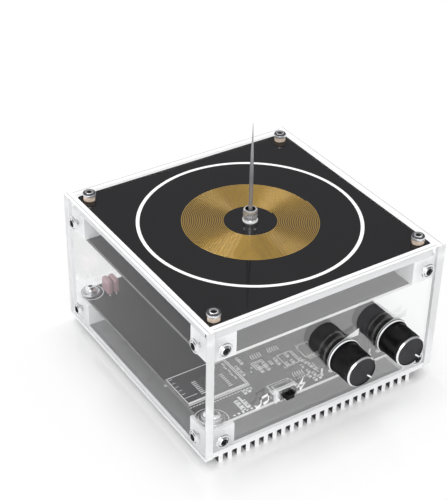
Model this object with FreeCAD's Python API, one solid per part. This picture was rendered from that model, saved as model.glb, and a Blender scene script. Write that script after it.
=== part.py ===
import FreeCAD, Part
import math
import os

from FreeCAD import Vector

# Desktop resonant transformer: a clear case on a finned heat sink, with a flat printed coil on top.
# The case stands on its fins at z = 0. X runs to the right, Y to the back and Z up.
# The origin lies under the middle of the case. All sizes are in millimetres.

# Driving dimensions of the case
case_width = 130.0
case_depth = 130.0
panel_thickness = 4.0
fin_height = 4.0
base_plate_thickness = 1.8
block_side = 12.5
board_thickness = 1.6
board_spacing = 36.1
top_plate_thickness = 3.0
rim_height = 1.3

# Heat sink
heat_sink_inset = 0.6
side_play = 0.1
fin_width = 2.3
fin_pitch = 4.91
first_fin_inset = 7.4
last_fin_margin = 5.0

# Boards and the clear plate under the coil
board_margin = 1.5
board_corner_radius = 2.0
top_play = 0.15
top_corner_radius = 3.0

# Metric screws, nuts and their holes
screw_radius = 1.45
thread_play = 0.05
clearance_play = 0.15
tip_chamfer = 0.4
corner_screw_inset = 9.2
side_screw_inset = 9.3
side_screw_rise = 6.5
side_screw_length = 8.0
side_head_radius = 2.85
side_head_height = 1.65
side_key_across = 2.0
side_key_depth = 1.0
top_screw_length = 10.0
top_head_radius = 3.2
top_head_height = 1.9
top_key_across = 2.5
top_key_depth = 1.2
board_screw_length = 8.0
under_screw_length = 6.0
base_screw_length = 6.0
base_head_radius = 2.8
base_head_play = 0.1
nut_across = 5.5
nut_height = 2.4
nut_chamfer = 0.35
flange_radius = 4.9
flange_thickness = 0.9
flange_nut_radius = 3.6
overrun = 1.0

# Printed windings
secondary_inner_radius = 12.2
secondary_outer_radius = 33.1
secondary_turns = 24
secondary_trace_width = 0.44
primary_inner_radius = 38.0
primary_outer_radius = 52.0
primary_turns = 5
primary_trace_width = 1.6
trace_height = 0.12

# Needle and its socket
needle_top = 127.0
needle_radius = 1.0
needle_tip_radius = 0.08
needle_straight_length = 26.0
needle_grip_length = 5.0
needle_play = 0.05
socket_flange_radius = 3.65
socket_flange_height = 1.2
socket_radius = 3.25
socket_height = 6.6
socket_cup_radius = 2.5
socket_cup_depth = 1.4
socket_chamfer = 0.3
socket_spigot_radius = 1.5
set_screw_radius = 0.9
set_screw_rise = 3.6
set_screw_inset = 0.2

# Knobs, potentiometers and the nuts that hold them
knob_centre_share = 0.3446
knob_spacing = 28.0
knob_axis_z = 35.0
knob_gap = 1.0
knob_length = 14.5
knob_radius = 8.1
knob_skirt_radius = 9.1
knob_skirt_height = 1.5
knob_bevel = 0.7
knob_face_rim = 1.1
knob_face_depth = 0.25
knob_front_wall = 1.6
knob_core_radius = 6.7
knob_nut_recess = 4.2
pointer_angle = 133.0
pointer_length = 4.2
pointer_width = 0.7
pointer_depth = 0.35
shaft_radius = 3.0
shaft_play = 0.05
shaft_reach = 17.0
bushing_radius = 3.5
bushing_reach = 7.2
bushing_hole_play = 0.1
pot_radius = 7.2
pot_depth = 6.5
pot_wall = 0.8
rotor_radius = 5.6
rotor_clearance = 0.3
track_thickness = 0.8
track_play = 0.1
track_tongue_width = 12.4
track_tongue_drop = 11.0
pot_pin_pitch = 5.0
pot_pin_radius = 0.5
washer_radius = 5.4
washer_thickness = 0.5
pot_nut_across = 10.0
pot_nut_height = 2.0

# Slide switch with three positions
switch_place_share = -0.32
switch_width = 10.8
switch_depth = 4.4
switch_height = 6.6
switch_wall = 0.5
switch_panel_gap = 0.1
switch_base_height = 2.6
switch_lever_rise = 4.3
switch_lever_width = 4.3
switch_lever_height = 3.3
switch_lever_reach = 6.4
switch_lever_bevel = 0.5
switch_slider_width = 5.4
switch_slider_height = 3.2
switch_travel = 2.0
switch_play = 0.15
switch_panel_play = 0.3
switch_pin_pitch = 2.5
switch_pin_count = 4
pin_radius = 0.35
pin_play = 0.1
pin_stub = 1.0

# Audio module on its own small board
module_edge_inset = 0.1
module_depth_share = -0.573
module_width = 30.0
module_depth = 21.0
module_thickness = 1.0
module_chip_width = 9.4
module_chip_height = 0.9
module_chip_shares = (0.03, -0.12)
module_pin_pitch = 2.54
module_pin_count = 7
module_pin_inset = 1.4

# Chips, resistors and capacitors soldered flat on the main board
chip_body_width = 3.9
chip_body_length = 6.4
chip_height = 1.5
control_chip_width = 7.0
control_chip_height = 1.4
chip_resistor_length = 2.0
chip_resistor_width = 1.25
chip_resistor_height = 0.6
module_side_gap = 1.6

# Tall parts on the main board
film_width = 3.2
film_depth = 7.6
film_height = 8.0
film_gap = 0.3
film_fillet = 1.3
film_rise = 1.0
film_leg_pitch = 5.0
can_radius = 6.3
can_height = 20.0
can_groove = 0.5
can_groove_rise = 2.6
can_spacing = 16.0
inductor_side = 12.0
inductor_height = 7.0
inductor_chamfer = 1.5

# Power transistors clamped flat on the heat sink
transistor_width = 15.8
transistor_depth = 20.8
transistor_height = 5.0
transistor_pad = 0.3
transistor_pad_overhang = 1.0
transistor_hole_inset = 5.6
transistor_hole_radius = 1.8
transistor_screw_length = 8.0
transistor_spacing = 34.0
transistor_depth_share = 0.062
transistor_leg_pitch = 5.45
transistor_leg_width = 1.2
transistor_leg_thickness = 0.6
transistor_leg_run = 4.0
transistor_leg_rise = 2.2

# Inlets on the back panel
jack_gap = 0.1
power_jack_share = -0.4615
power_jack_width = 9.0
power_jack_depth = 13.2
power_jack_height = 11.0
power_jack_axis = 6.5
power_jack_bore_radius = 2.85
power_jack_bore_depth = 9.6
power_pin_radius = 1.05
power_pin_inset = 0.8
power_hole_radius = 4.0
audio_jack_share = 0
audio_jack_width = 7.0
audio_jack_depth = 11.6
audio_jack_height = 8.0
audio_jack_axis = 4.4
audio_jack_bore_radius = 1.8
audio_barrel_radius = 3.0
audio_barrel_length = 5.6
audio_nut_radius = 4.1
audio_nut_height = 1.4

# Leads between the boards
lead_radius = 0.8
lead_bend = 4.0
lead_first_rise = 10.0
lead_side_run = 12.0
lead_spacing = 6.0
ground_lead_radius = 0.6
ground_lead_play = 0.3

# Heights of the stack, from the fins up
half_width = case_width / 2
half_depth = case_depth / 2
inner_x = half_width - panel_thickness
inner_y = half_depth - panel_thickness
base_top = fin_height + base_plate_thickness
main_board_z = base_top + block_side
main_board_top = main_board_z + board_thickness
primary_board_z = main_board_top + board_spacing
primary_board_top = primary_board_z + board_thickness
top_plate_z = primary_board_top + block_side
coil_board_z = top_plate_z + top_plate_thickness
coil_board_top = coil_board_z + board_thickness
case_top = coil_board_top + rim_height

# Faces and radii that several pieces share
front_inner = -inner_y
front_outer = -half_depth
screw_hole = screw_radius + thread_play
panel_hole = screw_radius + clearance_play
corner_x = half_width - corner_screw_inset
corner_y = half_depth - corner_screw_inset
side_levels = (base_top + side_screw_rise, primary_board_top + side_screw_rise)
knob_centre_x = knob_centre_share * half_width
knob_xs = (knob_centre_x - knob_spacing / 2, knob_centre_x + knob_spacing / 2)
switch_x = switch_place_share * half_width
module_x = module_edge_inset + module_width / 2 + board_margin - inner_x
module_y = module_depth_share * (inner_y - board_margin)
transistor_y = transistor_depth_share * half_depth
power_jack_x = power_jack_share * half_width
audio_jack_x = audio_jack_share * half_width
sides = (-1, 1)
up = Vector(0, 0, 1)
forward = Vector(0, -1, 0)
switch_top_z = main_board_top + switch_height
switch_lever_z = main_board_top + switch_lever_rise

# Places on the main board, as shares of its half width and half depth
chip_place_shares = ((-0.26, -0.425), (-0.096, -0.425), (-0.096, -0.778), (-0.42, 0.06), (-0.14, 0.06),
                     (0.14, 0.06), (0.42, 0.06), (0.0, -0.12))
control_chip_shares = (0.146, -0.632)
resistor_place_shares = ((-0.313, -0.597), (-0.257, -0.597), (-0.319, -0.657),
                         (-0.260, -0.657), (-0.148, -0.597), (-0.155, -0.645), (-0.042, -0.600),
                         (-0.099, -0.689), (-0.044, -0.684), (0.025, -0.704), (-0.022, -0.775),
                         (0.035, -0.743), (0.047, -0.798), (-0.010, -0.849), (0.054, -0.840),
                         (-0.036, -0.899), (0.010, -0.899), (-0.018, -0.955), (0.027, -0.951),
                         (-0.576, -0.803), (-0.536, -0.797), (-0.686, -0.870), (-0.686, -0.915),
                         (-0.636, -0.893), (-0.636, -0.938), (0.30, -0.06), (0.60, -0.10))
column_place_shares = ((0, -0.524), (0, -0.568), (0, -0.612), (1, -0.440), (1, -0.487))
film_place_shares = (-0.79, 0.85)
can_place_shares = (0.42, 0.42)
inductor_place_shares = (-0.05, 0.50)
lead_depth_share = 0.10
ground_lead_shares = (-0.30, 0.52)


def block(x0, x1, y0, y1, z0, z1):
    return Part.makeBox(x1 - x0, y1 - y0, z1 - z0, Vector(x0, y0, z0))


def centred_block(x, y, width, depth, z0, height):
    return block(x - width / 2, x + width / 2, y - depth / 2, y + depth / 2, z0, z0 + height)


def rod(radius, length, start, direction=up):
    return Part.makeCylinder(radius, length, start, direction)


def joined(shapes):
    first, rest = shapes[0], shapes[1:]
    return first.fuse(rest).removeSplitter() if rest else first


def group(shapes):
    return Part.makeCompound(shapes)


def aimed(shape, place, direction):
    copy = shape.copy()
    copy.Placement = FreeCAD.Placement(place, FreeCAD.Rotation(up, direction))
    return copy


def moved(shape, x=0, y=0, z=0):
    copy = shape.copy()
    copy.translate(Vector(x, y, z))
    return copy


def hexagon(across, height):
    corner = across / math.sqrt(3)
    points = []
    for step in range(7):
        angle = math.radians(60 * step)
        points.append(Vector(corner * math.cos(angle), corner * math.sin(angle), 0))
    return Part.Face(Part.makePolygon(points)).extrude(Vector(0, 0, height))


def turned(profile):
    # The profile is a closed outline of (radius, height) pairs, turned about the Z axis.
    points = [Vector(radius, 0, height) for radius, height in profile]
    face = Part.Face(Part.makePolygon(points + points[:1]))
    return face.revolve(Vector(0, 0, 0), up, 360)


def rounded_plate(half_x, half_y, z0, thickness, radius):
    plate = block(-half_x, half_x, -half_y, half_y, z0, z0 + thickness)
    uprights = [edge for edge in plate.Edges if abs(edge.tangentAt(edge.FirstParameter).z) > 0.5]
    return plate.makeFillet(radius, uprights)


def corner_places(x, y):
    return [(sx * x, sy * y) for sx in sides for sy in sides]


# Screws and nuts

def shank(length):
    # The shank hangs below the head, whose underside is at height zero.
    return turned([(0, 0), (screw_radius, 0), (screw_radius, tip_chamfer - length),
                   (screw_radius - tip_chamfer, -length), (0, -length)])


def button_screw(length):
    crown = side_head_radius * side_head_radius / side_head_height
    dome_radius = (side_head_height + crown) / 2
    dome = Part.makeSphere(dome_radius, Vector(0, 0, side_head_height - dome_radius))
    head = rod(side_head_radius, side_head_height, Vector(0, 0, 0)).common(dome)
    socket = moved(hexagon(side_key_across, side_key_depth + overrun), z=side_head_height - side_key_depth)
    return joined([head.cut(socket), shank(length)])


def pan_screw(length):
    head = rod(top_head_radius, top_head_height, Vector(0, 0, 0))
    upper = [edge for edge in head.Edges if edge.BoundBox.ZMin > top_head_height / 2]
    head = head.makeFillet(top_head_height / 2, upper)
    socket = moved(hexagon(top_key_across, top_key_depth + overrun), z=top_head_height - top_key_depth)
    return joined([head.cut(socket), shank(length)])


def flat_screw(length):
    # A countersunk screw whose flat top is at height zero.
    sink = base_head_radius - screw_radius
    body = turned([(0, 0), (base_head_radius, 0), (screw_radius, -sink), (screw_radius, tip_chamfer - length),
                   (screw_radius - tip_chamfer, -length), (0, -length)])
    socket = moved(hexagon(side_key_across, side_key_depth + overrun), z=-side_key_depth)
    return body.cut(socket)


def hex_nut(across, height, hole_radius):
    corner = across / math.sqrt(3)
    nut = hexagon(across, height)
    chamfered = turned([(0, 0), (corner - nut_chamfer, 0), (corner, nut_chamfer),
                        (corner, height - nut_chamfer), (corner - nut_chamfer, height), (0, height)])
    return nut.common(chamfered).cut(rod(hole_radius, height, Vector(0, 0, 0)))


# Case

def heat_sink():
    plate_x = inner_x - side_play
    plate_y = half_depth - heat_sink_inset
    pieces = [block(-plate_x, plate_x, -plate_y, plate_y, fin_height, base_top)]
    first_x = first_fin_inset - half_width
    room = plate_x - last_fin_margin - fin_width - first_x
    for index in range(int(room / fin_pitch) + 1):
        x = first_x + index * fin_pitch
        pieces.append(block(x, x + fin_width, -plate_y, plate_y, 0, fin_height))
    body = joined(pieces)
    sink = base_head_radius - screw_radius
    for x, y in corner_places(corner_x, corner_y):
        body = body.cut(rod(base_head_radius + base_head_play, fin_height, Vector(x, y, 0)))
        cone = Part.makeCone(base_head_radius, screw_radius, sink, Vector(x, y, fin_height), up)
        body = body.cut(cone)
        body = body.cut(rod(screw_hole, base_top, Vector(x, y, 0)))
    for x, y in transistor_holes():
        tapped = transistor_tip_z()
        body = body.cut(rod(screw_hole, base_top - tapped, Vector(x, y, tapped)))
    return body


def corner_blocks(z0):
    blocks = []
    for sx, sy in corner_places(1, 1):
        middle_x = sx * (inner_x - block_side / 2)
        middle_y = sy * (inner_y - block_side / 2)
        piece = centred_block(middle_x, middle_y, block_side, block_side, z0, block_side)
        piece = piece.cut(rod(screw_hole, block_side, Vector(sx * corner_x, sy * corner_y, z0)))
        level = z0 + side_screw_rise
        side_x = sx * (half_width - side_screw_inset)
        side_y = sy * (half_depth - side_screw_inset)
        reach = side_screw_length - panel_thickness + overrun
        piece = piece.cut(rod(screw_hole, reach, Vector(side_x, sy * inner_y, level), Vector(0, -sy, 0)))
        piece = piece.cut(rod(screw_hole, reach, Vector(sx * inner_x, side_y, level), Vector(-sx, 0, 0)))
        blocks.append(piece)
    return group(blocks)


def side_panel(side):
    inner, outer = sorted((side * inner_x, side * half_width))
    panel = block(inner, outer, -half_depth, half_depth, fin_height, case_top)
    for level in side_levels:
        for sy in sides:
            y = sy * (half_depth - side_screw_inset)
            panel = panel.cut(rod(panel_hole, panel_thickness, Vector(inner, y, level), Vector(1, 0, 0)))
    return panel


def end_panel(side):
    inner, outer = sorted((side * inner_y, side * half_depth))
    panel = block(-inner_x, inner_x, inner, outer, base_top, case_top)
    for level in side_levels:
        for sx in sides:
            x = sx * (half_width - side_screw_inset)
            panel = panel.cut(rod(panel_hole, panel_thickness, Vector(x, inner, level), Vector(0, 1, 0)))
    return panel


def front_panel():
    panel = end_panel(-1)
    bushing_hole = bushing_radius + bushing_hole_play
    for x in knob_xs:
        panel = panel.cut(rod(bushing_hole, panel_thickness, Vector(x, front_inner, knob_axis_z), forward))
    slot_half = switch_lever_width / 2 + switch_travel + switch_panel_play
    slot_rise = switch_lever_height / 2 + switch_panel_play
    slot = block(switch_x - slot_half, switch_x + slot_half, front_outer, front_inner,
                 switch_lever_z - slot_rise, switch_lever_z + slot_rise)
    return panel.cut(slot)


def back_panel():
    panel = end_panel(1)
    power = Vector(power_jack_x, inner_y, main_board_top + power_jack_axis)
    audio = Vector(audio_jack_x, inner_y, main_board_top + audio_jack_axis)
    panel = panel.cut(rod(power_hole_radius, panel_thickness, power, Vector(0, 1, 0)))
    audio_hole = audio_barrel_radius + bushing_hole_play
    return panel.cut(rod(audio_hole, panel_thickness, audio, Vector(0, 1, 0)))


def side_panel_screws(side):
    screw = button_screw(side_screw_length)
    out = Vector(side, 0, 0)
    return group([aimed(screw, Vector(side * half_width, sy * (half_depth - side_screw_inset), level), out)
                  for level in side_levels for sy in sides])


def end_panel_screws(side):
    screw = button_screw(side_screw_length)
    out = Vector(0, side, 0)
    return group([aimed(screw, Vector(sx * (half_width - side_screw_inset), side * half_depth, level), out)
                  for level in side_levels for sx in sides])


def base_screws():
    screw = flat_screw(base_screw_length)
    return group([aimed(screw, Vector(x, y, fin_height), Vector(0, 0, -1))
                  for x, y in corner_places(corner_x, corner_y)])


# Boards and the clear plate

def drilled_board(z0):
    half_x, half_y = inner_x - board_margin, inner_y - board_margin
    board = rounded_plate(half_x, half_y, z0, board_thickness, board_corner_radius)
    for x, y in corner_places(corner_x, corner_y):
        board = board.cut(rod(panel_hole, board_thickness, Vector(x, y, z0)))
    return board


def board_place(shares):
    half_x = inner_x - board_margin
    half_y = inner_y - board_margin
    return shares[0] * half_x, shares[1] * half_y


def main_board():
    board = drilled_board(main_board_z)
    holes = [(x, y, pot_pin_radius) for x, y in pot_pin_places()]
    holes += [(x, y, pin_radius) for x, y in switch_pin_places()]
    holes += [(x, y, pin_radius) for x, y in module_pin_places()]
    holes += [(x, y, pin_radius) for x, y in film_leg_places()]
    tools = [rod(radius + pin_play, board_thickness, Vector(x, y, main_board_z)) for x, y, radius in holes]
    for x, y in transistor_leg_places():
        tools.append(centred_block(x, y, transistor_leg_width + pin_play * 2,
                                   transistor_leg_thickness + pin_play * 2, main_board_z, board_thickness))
    return board.cut(tools)


def primary_board():
    board = drilled_board(primary_board_z)
    x, y = board_place(ground_lead_shares)
    hole_radius = ground_lead_radius + ground_lead_play
    return board.cut(rod(hole_radius, board_thickness, Vector(x, y, primary_board_z)))


def top_sheet(z0, thickness):
    sheet = rounded_plate(inner_x - top_play, inner_y - top_play, z0, thickness, top_corner_radius)
    for x, y in corner_places(corner_x, corner_y):
        sheet = sheet.cut(rod(panel_hole, thickness, Vector(x, y, z0)))
    return sheet


def top_plate():
    x, y = board_place(ground_lead_shares)
    hole = rod(ground_lead_radius + ground_lead_play, top_plate_thickness, Vector(x, y, top_plate_z))
    return top_sheet(top_plate_z, top_plate_thickness).cut(hole)


def coil_board():
    spigot = rod(socket_spigot_radius, board_thickness, Vector(0, 0, coil_board_z))
    return top_sheet(coil_board_z, board_thickness).cut(spigot)


def spiral(inner_radius, outer_radius, turns, width, z0, name):
    # Half circles on two centres make one unbroken spiral. Each half turn grows by half a pitch.
    pitch = (outer_radius - inner_radius - width) / turns
    start = inner_radius + width / 2
    edges = []
    x = start
    for half in range(2 * turns):
        sign = 1 if half % 2 == 0 else -1
        radius = start + pitch * (half + 0.5) / 2
        far = x - sign * 2 * radius
        crest = Vector((x + far) / 2, sign * radius, z0)
        edges.append(Part.Arc(Vector(x, 0, z0), crest, Vector(far, 0, z0)).toShape())
        x = far
    path = Part.Wire(edges)
    half_width_of_trace = width / 2
    corners = [Vector(start - half_width_of_trace, 0, z0), Vector(start + half_width_of_trace, 0, z0),
               Vector(start + half_width_of_trace, 0, z0 + trace_height),
               Vector(start - half_width_of_trace, 0, z0 + trace_height)]
    section = Part.makePolygon(corners + corners[:1])
    trace = path.makePipeShell([section], True, False)
    print(name, "least gap between turns", round(least_turn_gap(path, turns, width), 3),
          "volume against section times length",
          round(trace.Volume / (width * trace_height * path.Length), 4))
    return trace


def least_turn_gap(path, turns, width):
    # The gap is measured between points one turn apart, less the width of the trace.
    ray_count = 8
    gaps = []
    for ray in range(ray_count):
        radii = sorted(turn_radii(path, ray * 360 / ray_count))
        gaps += [far - near - width for near, far in zip(radii, radii[1:])]
    return min(gaps)


def turn_radii(path, angle):
    direction = Vector(math.cos(math.radians(angle)), math.sin(math.radians(angle)), 0)
    height = path.Edges[0].BoundBox.ZMin
    ray = Part.LineSegment(Vector(0, 0, height), direction * case_width + Vector(0, 0, height)).toShape()
    return [point.distanceToPoint(Vector(0, 0, height)) for point in crossings(path, ray)]


def crossings(path, ray):
    found = []
    for edge in path.Edges:
        distance, pairs, _ = edge.distToShape(ray)
        if distance < trace_height / 100:
            found += [pair[0] for pair in pairs]
    distinct = []
    for point in found:
        if all(point.distanceToPoint(other) > trace_height for other in distinct):
            distinct.append(point)
    return distinct


def secondary_winding():
    return spiral(secondary_inner_radius, secondary_outer_radius, secondary_turns, secondary_trace_width,
                  coil_board_top, "secondary winding")


def primary_winding():
    # The primary turns are printed on the underside of their board.
    return spiral(primary_inner_radius, primary_outer_radius, primary_turns, primary_trace_width,
                  primary_board_z - trace_height, "primary winding")


def top_nuts():
    return group([moved(hex_nut(nut_across, nut_height, screw_hole), x, y, coil_board_top)
                  for x, y in corner_places(corner_x, corner_y)])


def top_screws():
    return group([moved(pan_screw(top_screw_length), x, y, coil_board_top + nut_height)
                  for x, y in corner_places(corner_x, corner_y)])


def flange_nut():
    # A round nut on a wide flange, with both of its upper edges broken.
    return turned([(screw_hole, 0), (flange_radius, 0), (flange_radius, flange_thickness - nut_chamfer),
                   (flange_radius - nut_chamfer, flange_thickness), (flange_nut_radius, flange_thickness),
                   (flange_nut_radius, nut_height - nut_chamfer),
                   (flange_nut_radius - nut_chamfer, nut_height), (screw_hole, nut_height)])


def board_nuts():
    return group([moved(flange_nut(), x, y, main_board_top) for x, y in corner_places(corner_x, corner_y)])


def board_screws():
    return group([moved(button_screw(board_screw_length), x, y, main_board_top + nut_height)
                  for x, y in corner_places(corner_x, corner_y)])


def primary_board_screws():
    screw = button_screw(under_screw_length)
    return group([aimed(screw, Vector(x, y, primary_board_z), Vector(0, 0, -1))
                  for x, y in corner_places(corner_x, corner_y)])


# Needle and socket

def needle_socket():
    top = coil_board_top + socket_height
    flange_top = coil_board_top + socket_flange_height
    seat = top - needle_grip_length - socket_cup_depth
    bore = needle_radius + needle_play
    body = turned([(0, coil_board_z), (socket_spigot_radius, coil_board_z),
                   (socket_spigot_radius, coil_board_top), (socket_flange_radius, coil_board_top),
                   (socket_flange_radius, flange_top),
                   (socket_radius, flange_top), (socket_radius, top - socket_chamfer),
                   (socket_radius - socket_chamfer, top), (socket_cup_radius, top),
                   (socket_cup_radius, top - socket_cup_depth), (bore, top - socket_cup_depth),
                   (bore, seat), (0, seat)])
    middle = coil_board_top + set_screw_rise
    hole = rod(set_screw_radius + thread_play, socket_radius, Vector(0, 0, middle), forward)
    return body.cut(hole)


def needle_seat_z():
    return coil_board_top + socket_height - needle_grip_length - socket_cup_depth


def set_screw():
    length = socket_radius - set_screw_inset - needle_radius
    return rod(set_screw_radius, length, Vector(0, -needle_radius, coil_board_top + set_screw_rise), forward)


def needle():
    seat = needle_seat_z()
    shoulder = seat + needle_straight_length
    return turned([(0, seat), (needle_radius, seat), (needle_radius, shoulder),
                   (needle_tip_radius, needle_top), (0, needle_top)])


# Potentiometers and knobs. Each is drawn about a Z axis that points out of the panel,
# with height zero at the panel's inner face, and is then aimed forward.

def at_panel(shape, x):
    # Turns the drawing so that its X stays level and its Y points up.
    turned_shape = shape.copy()
    turned_shape.rotate(Vector(0, 0, 0), Vector(1, 0, 0), 90)
    turned_shape.translate(Vector(x, front_inner, knob_axis_z))
    return turned_shape


def pot_case(x):
    outer = turned([(0, -pot_depth), (pot_radius, -pot_depth), (pot_radius, 0), (bushing_radius, 0),
                    (bushing_radius, bushing_reach), (0, bushing_reach)])
    inner_radius = pot_radius - pot_wall
    outer = outer.cut(rod(inner_radius, pot_depth - 2 * pot_wall, Vector(0, 0, pot_wall - pot_depth)))
    back = pot_wall - pot_depth
    outer = outer.cut(rod(shaft_radius + shaft_play, pot_depth + bushing_reach, Vector(0, 0, back)))
    half = track_tongue_width / 2 + track_play
    slot = block(-half, half, -pot_radius - overrun, 0, back, back + track_thickness + track_play)
    return at_panel(outer.cut(slot), x)


def pot_track(x):
    back = pot_wall - pot_depth
    disc = rod(pot_radius - pot_wall - track_play, track_thickness, Vector(0, 0, back))
    half = track_tongue_width / 2
    tongue = block(-half, half, -track_tongue_drop, 0, back, back + track_thickness)
    return at_panel(joined([disc, tongue]), x)


def pot_track_y():
    return front_inner + pot_depth - pot_wall - track_thickness / 2


def pot_pin_places():
    return [(x + step * pot_pin_pitch, pot_track_y()) for x in knob_xs for step in (-1, 0, 1)]


def pot_pins():
    top = knob_axis_z - track_tongue_drop
    bottom = main_board_z - pin_stub
    return group([rod(pot_pin_radius, top - bottom, Vector(x, y, bottom)) for x, y in pot_pin_places()])


def pot_shaft(x):
    rotor_back = pot_wall - pot_depth + track_thickness + rotor_clearance
    rotor_front = -pot_wall - rotor_clearance
    shaft = turned([(0, rotor_back), (rotor_radius, rotor_back), (rotor_radius, rotor_front),
                    (shaft_radius, rotor_front), (shaft_radius, shaft_reach), (0, shaft_reach)])
    return at_panel(shaft, x)


def pot_washers():
    ring = rod(washer_radius, washer_thickness, Vector(0, 0, panel_thickness))
    ring = ring.cut(rod(bushing_radius + thread_play, washer_thickness, Vector(0, 0, panel_thickness)))
    return group([at_panel(ring, x) for x in knob_xs])


def pot_nuts():
    nut = moved(hex_nut(pot_nut_across, pot_nut_height, bushing_radius + thread_play),
                z=panel_thickness + washer_thickness)
    return group([at_panel(nut, x) for x in knob_xs])


def knob_shell(x):
    back = panel_thickness + knob_gap
    front = back + knob_length
    rim = knob_radius - knob_bevel
    floor = front - knob_face_depth
    skirt_top = back + knob_skirt_height
    face_radius = rim - knob_face_rim + knob_bevel
    outer = turned([(0, back), (knob_skirt_radius, back), (knob_skirt_radius, skirt_top),
                    (knob_radius, skirt_top), (knob_radius, front - knob_bevel), (rim, front),
                    (face_radius, front), (face_radius, floor), (0, floor)])
    hollow = rod(knob_core_radius, knob_length - knob_front_wall, Vector(0, 0, back))
    groove_start = knob_radius - knob_bevel - pointer_length
    groove = block(groove_start, knob_radius, -pointer_width / 2, pointer_width / 2,
                   floor - pointer_depth, front + overrun)
    groove.rotate(Vector(0, 0, 0), up, 90 - pointer_angle)
    return at_panel(outer.cut([hollow, groove]), x)


def knob_core(x):
    back = panel_thickness + knob_gap + knob_nut_recess
    front = panel_thickness + knob_gap + knob_length - knob_front_wall
    core = rod(knob_core_radius, front - back, Vector(0, 0, back))
    core = core.cut(rod(shaft_radius, shaft_reach - back, Vector(0, 0, back)))
    return at_panel(core, x)


# Slide switch

def switch_y_front():
    return front_inner + switch_panel_gap


def switch_shell():
    y0 = switch_y_front()
    half = switch_width / 2
    shell = block(switch_x - half, switch_x + half, y0, y0 + switch_depth, main_board_top, switch_top_z)
    cavity = block(switch_x - half + switch_wall, switch_x + half - switch_wall, y0 + switch_wall,
                   y0 + switch_depth - switch_wall, main_board_top, switch_top_z - switch_wall)
    slot_half = switch_lever_width / 2 + switch_travel + switch_play
    slot_rise = switch_lever_height / 2 + switch_play
    slot = block(switch_x - slot_half, switch_x + slot_half, y0, y0 + switch_wall,
                 switch_lever_z - slot_rise, switch_lever_z + slot_rise)
    return shell.cut([cavity, slot])


def switch_base():
    y0 = switch_y_front()
    half = switch_width / 2 - switch_wall
    return block(switch_x - half, switch_x + half, y0 + switch_wall, y0 + switch_depth - switch_wall,
                 main_board_top, main_board_top + switch_base_height - switch_play)


def switch_lever():
    y0 = switch_y_front()
    slider_z = main_board_top + switch_base_height
    slider = block(switch_x - switch_slider_width / 2, switch_x + switch_slider_width / 2,
                   y0 + switch_wall + switch_play, y0 + switch_depth - switch_wall - switch_play,
                   slider_z, slider_z + switch_slider_height)
    half = switch_lever_width / 2
    rise = switch_lever_height / 2
    tip = front_inner - switch_lever_reach
    stem = block(switch_x - half, switch_x + half, tip, y0 + switch_wall + switch_play,
                 switch_lever_z - rise, switch_lever_z + rise)
    front_edges = [edge for edge in stem.Edges if edge.BoundBox.YMax < tip + switch_lever_bevel]
    return joined([slider, stem.makeChamfer(switch_lever_bevel, front_edges)])


def switch_pin_places():
    y = switch_y_front() + switch_depth / 2
    first = switch_x - switch_pin_pitch * (switch_pin_count - 1) / 2
    return [(first + index * switch_pin_pitch, y) for index in range(switch_pin_count)]


def board_pins(places, top, stub):
    bottom = main_board_z - stub
    return group([rod(pin_radius, top - bottom, Vector(x, y, bottom)) for x, y in places])


def switch_pins():
    return board_pins(switch_pin_places(), main_board_top, pin_stub)


# Audio module

def module_pin_places():
    first = module_x - module_pin_pitch * (module_pin_count - 1) / 2
    row = module_depth / 2 - module_pin_inset
    return [(first + index * module_pin_pitch, module_y + side * row)
            for index in range(module_pin_count) for side in sides]


def module_board():
    z0 = main_board_top
    board = centred_block(module_x, module_y, module_width, module_depth, z0, module_thickness)
    tools = [rod(pin_radius, module_thickness, Vector(x, y, z0)) for x, y in module_pin_places()]
    return board.cut(tools)


def module_pins():
    # The pins are cut flush with the top of the module's board.
    return board_pins(module_pin_places(), main_board_top + module_thickness, pin_stub)


def module_chip():
    z0 = main_board_top + module_thickness
    x = module_x + module_chip_shares[0] * module_width
    y = module_y + module_chip_shares[1] * module_depth
    return centred_block(x, y, module_chip_width, module_chip_width, z0, module_chip_height)


# Small parts on the main board

def driver_chips():
    chips = []
    for shares in chip_place_shares:
        x, y = board_place(shares)
        chips.append(centred_block(x, y, chip_body_length, chip_body_width, main_board_top, chip_height))
    return group(chips + [control_chip()])


def control_chip():
    x, y = board_place(control_chip_shares)
    return centred_block(x, y, control_chip_width, control_chip_width, main_board_top, control_chip_height)


def resistor_places():
    # Some stand in two columns: one beside the module, one halfway from it to the first chip.
    places = [board_place(shares) for shares in resistor_place_shares]
    module_edge = module_x + module_width / 2
    chip_edge = board_place(chip_place_shares[0])[0] - chip_body_length / 2
    columns = (module_edge + module_side_gap, (module_edge + chip_edge) / 2)
    for column, share in column_place_shares:
        places.append((columns[column], share * (inner_y - board_margin)))
    return places


def chip_resistors():
    return group([centred_block(x, y, chip_resistor_width, chip_resistor_length, main_board_top,
                                chip_resistor_height) for x, y in resistor_places()])


def film_places():
    # Two dipped capacitors stand side by side, with their broad faces to the left and right.
    x, y = board_place(film_place_shares)
    return [(x + side * (film_width + film_gap) / 2, y) for side in sides]


def film_leg_places():
    return [(x, y + side * film_leg_pitch / 2) for x, y in film_places() for side in sides]


def film_capacitors():
    bodies = []
    for x, y in film_places():
        body = centred_block(x, y, film_width, film_depth, main_board_top + film_rise, film_height)
        bodies.append(body.makeFillet(film_fillet, body.Edges))
    return group(bodies)


def film_legs():
    # The legs end flush under the board, because one of them stands over a corner block.
    return board_pins(film_leg_places(), main_board_top + film_rise, 0)


def electrolytic_capacitors():
    groove_top = can_groove_rise + can_groove * 2
    can = turned([(0, 0), (can_radius, 0), (can_radius, can_groove_rise),
                  (can_radius - can_groove, can_groove_rise + can_groove), (can_radius, groove_top),
                  (can_radius, can_height - can_groove), (can_radius - can_groove, can_height),
                  (0, can_height)])
    x, y = board_place(can_place_shares)
    return group([moved(can, x + side * can_spacing / 2, y, main_board_top) for side in sides])


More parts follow.
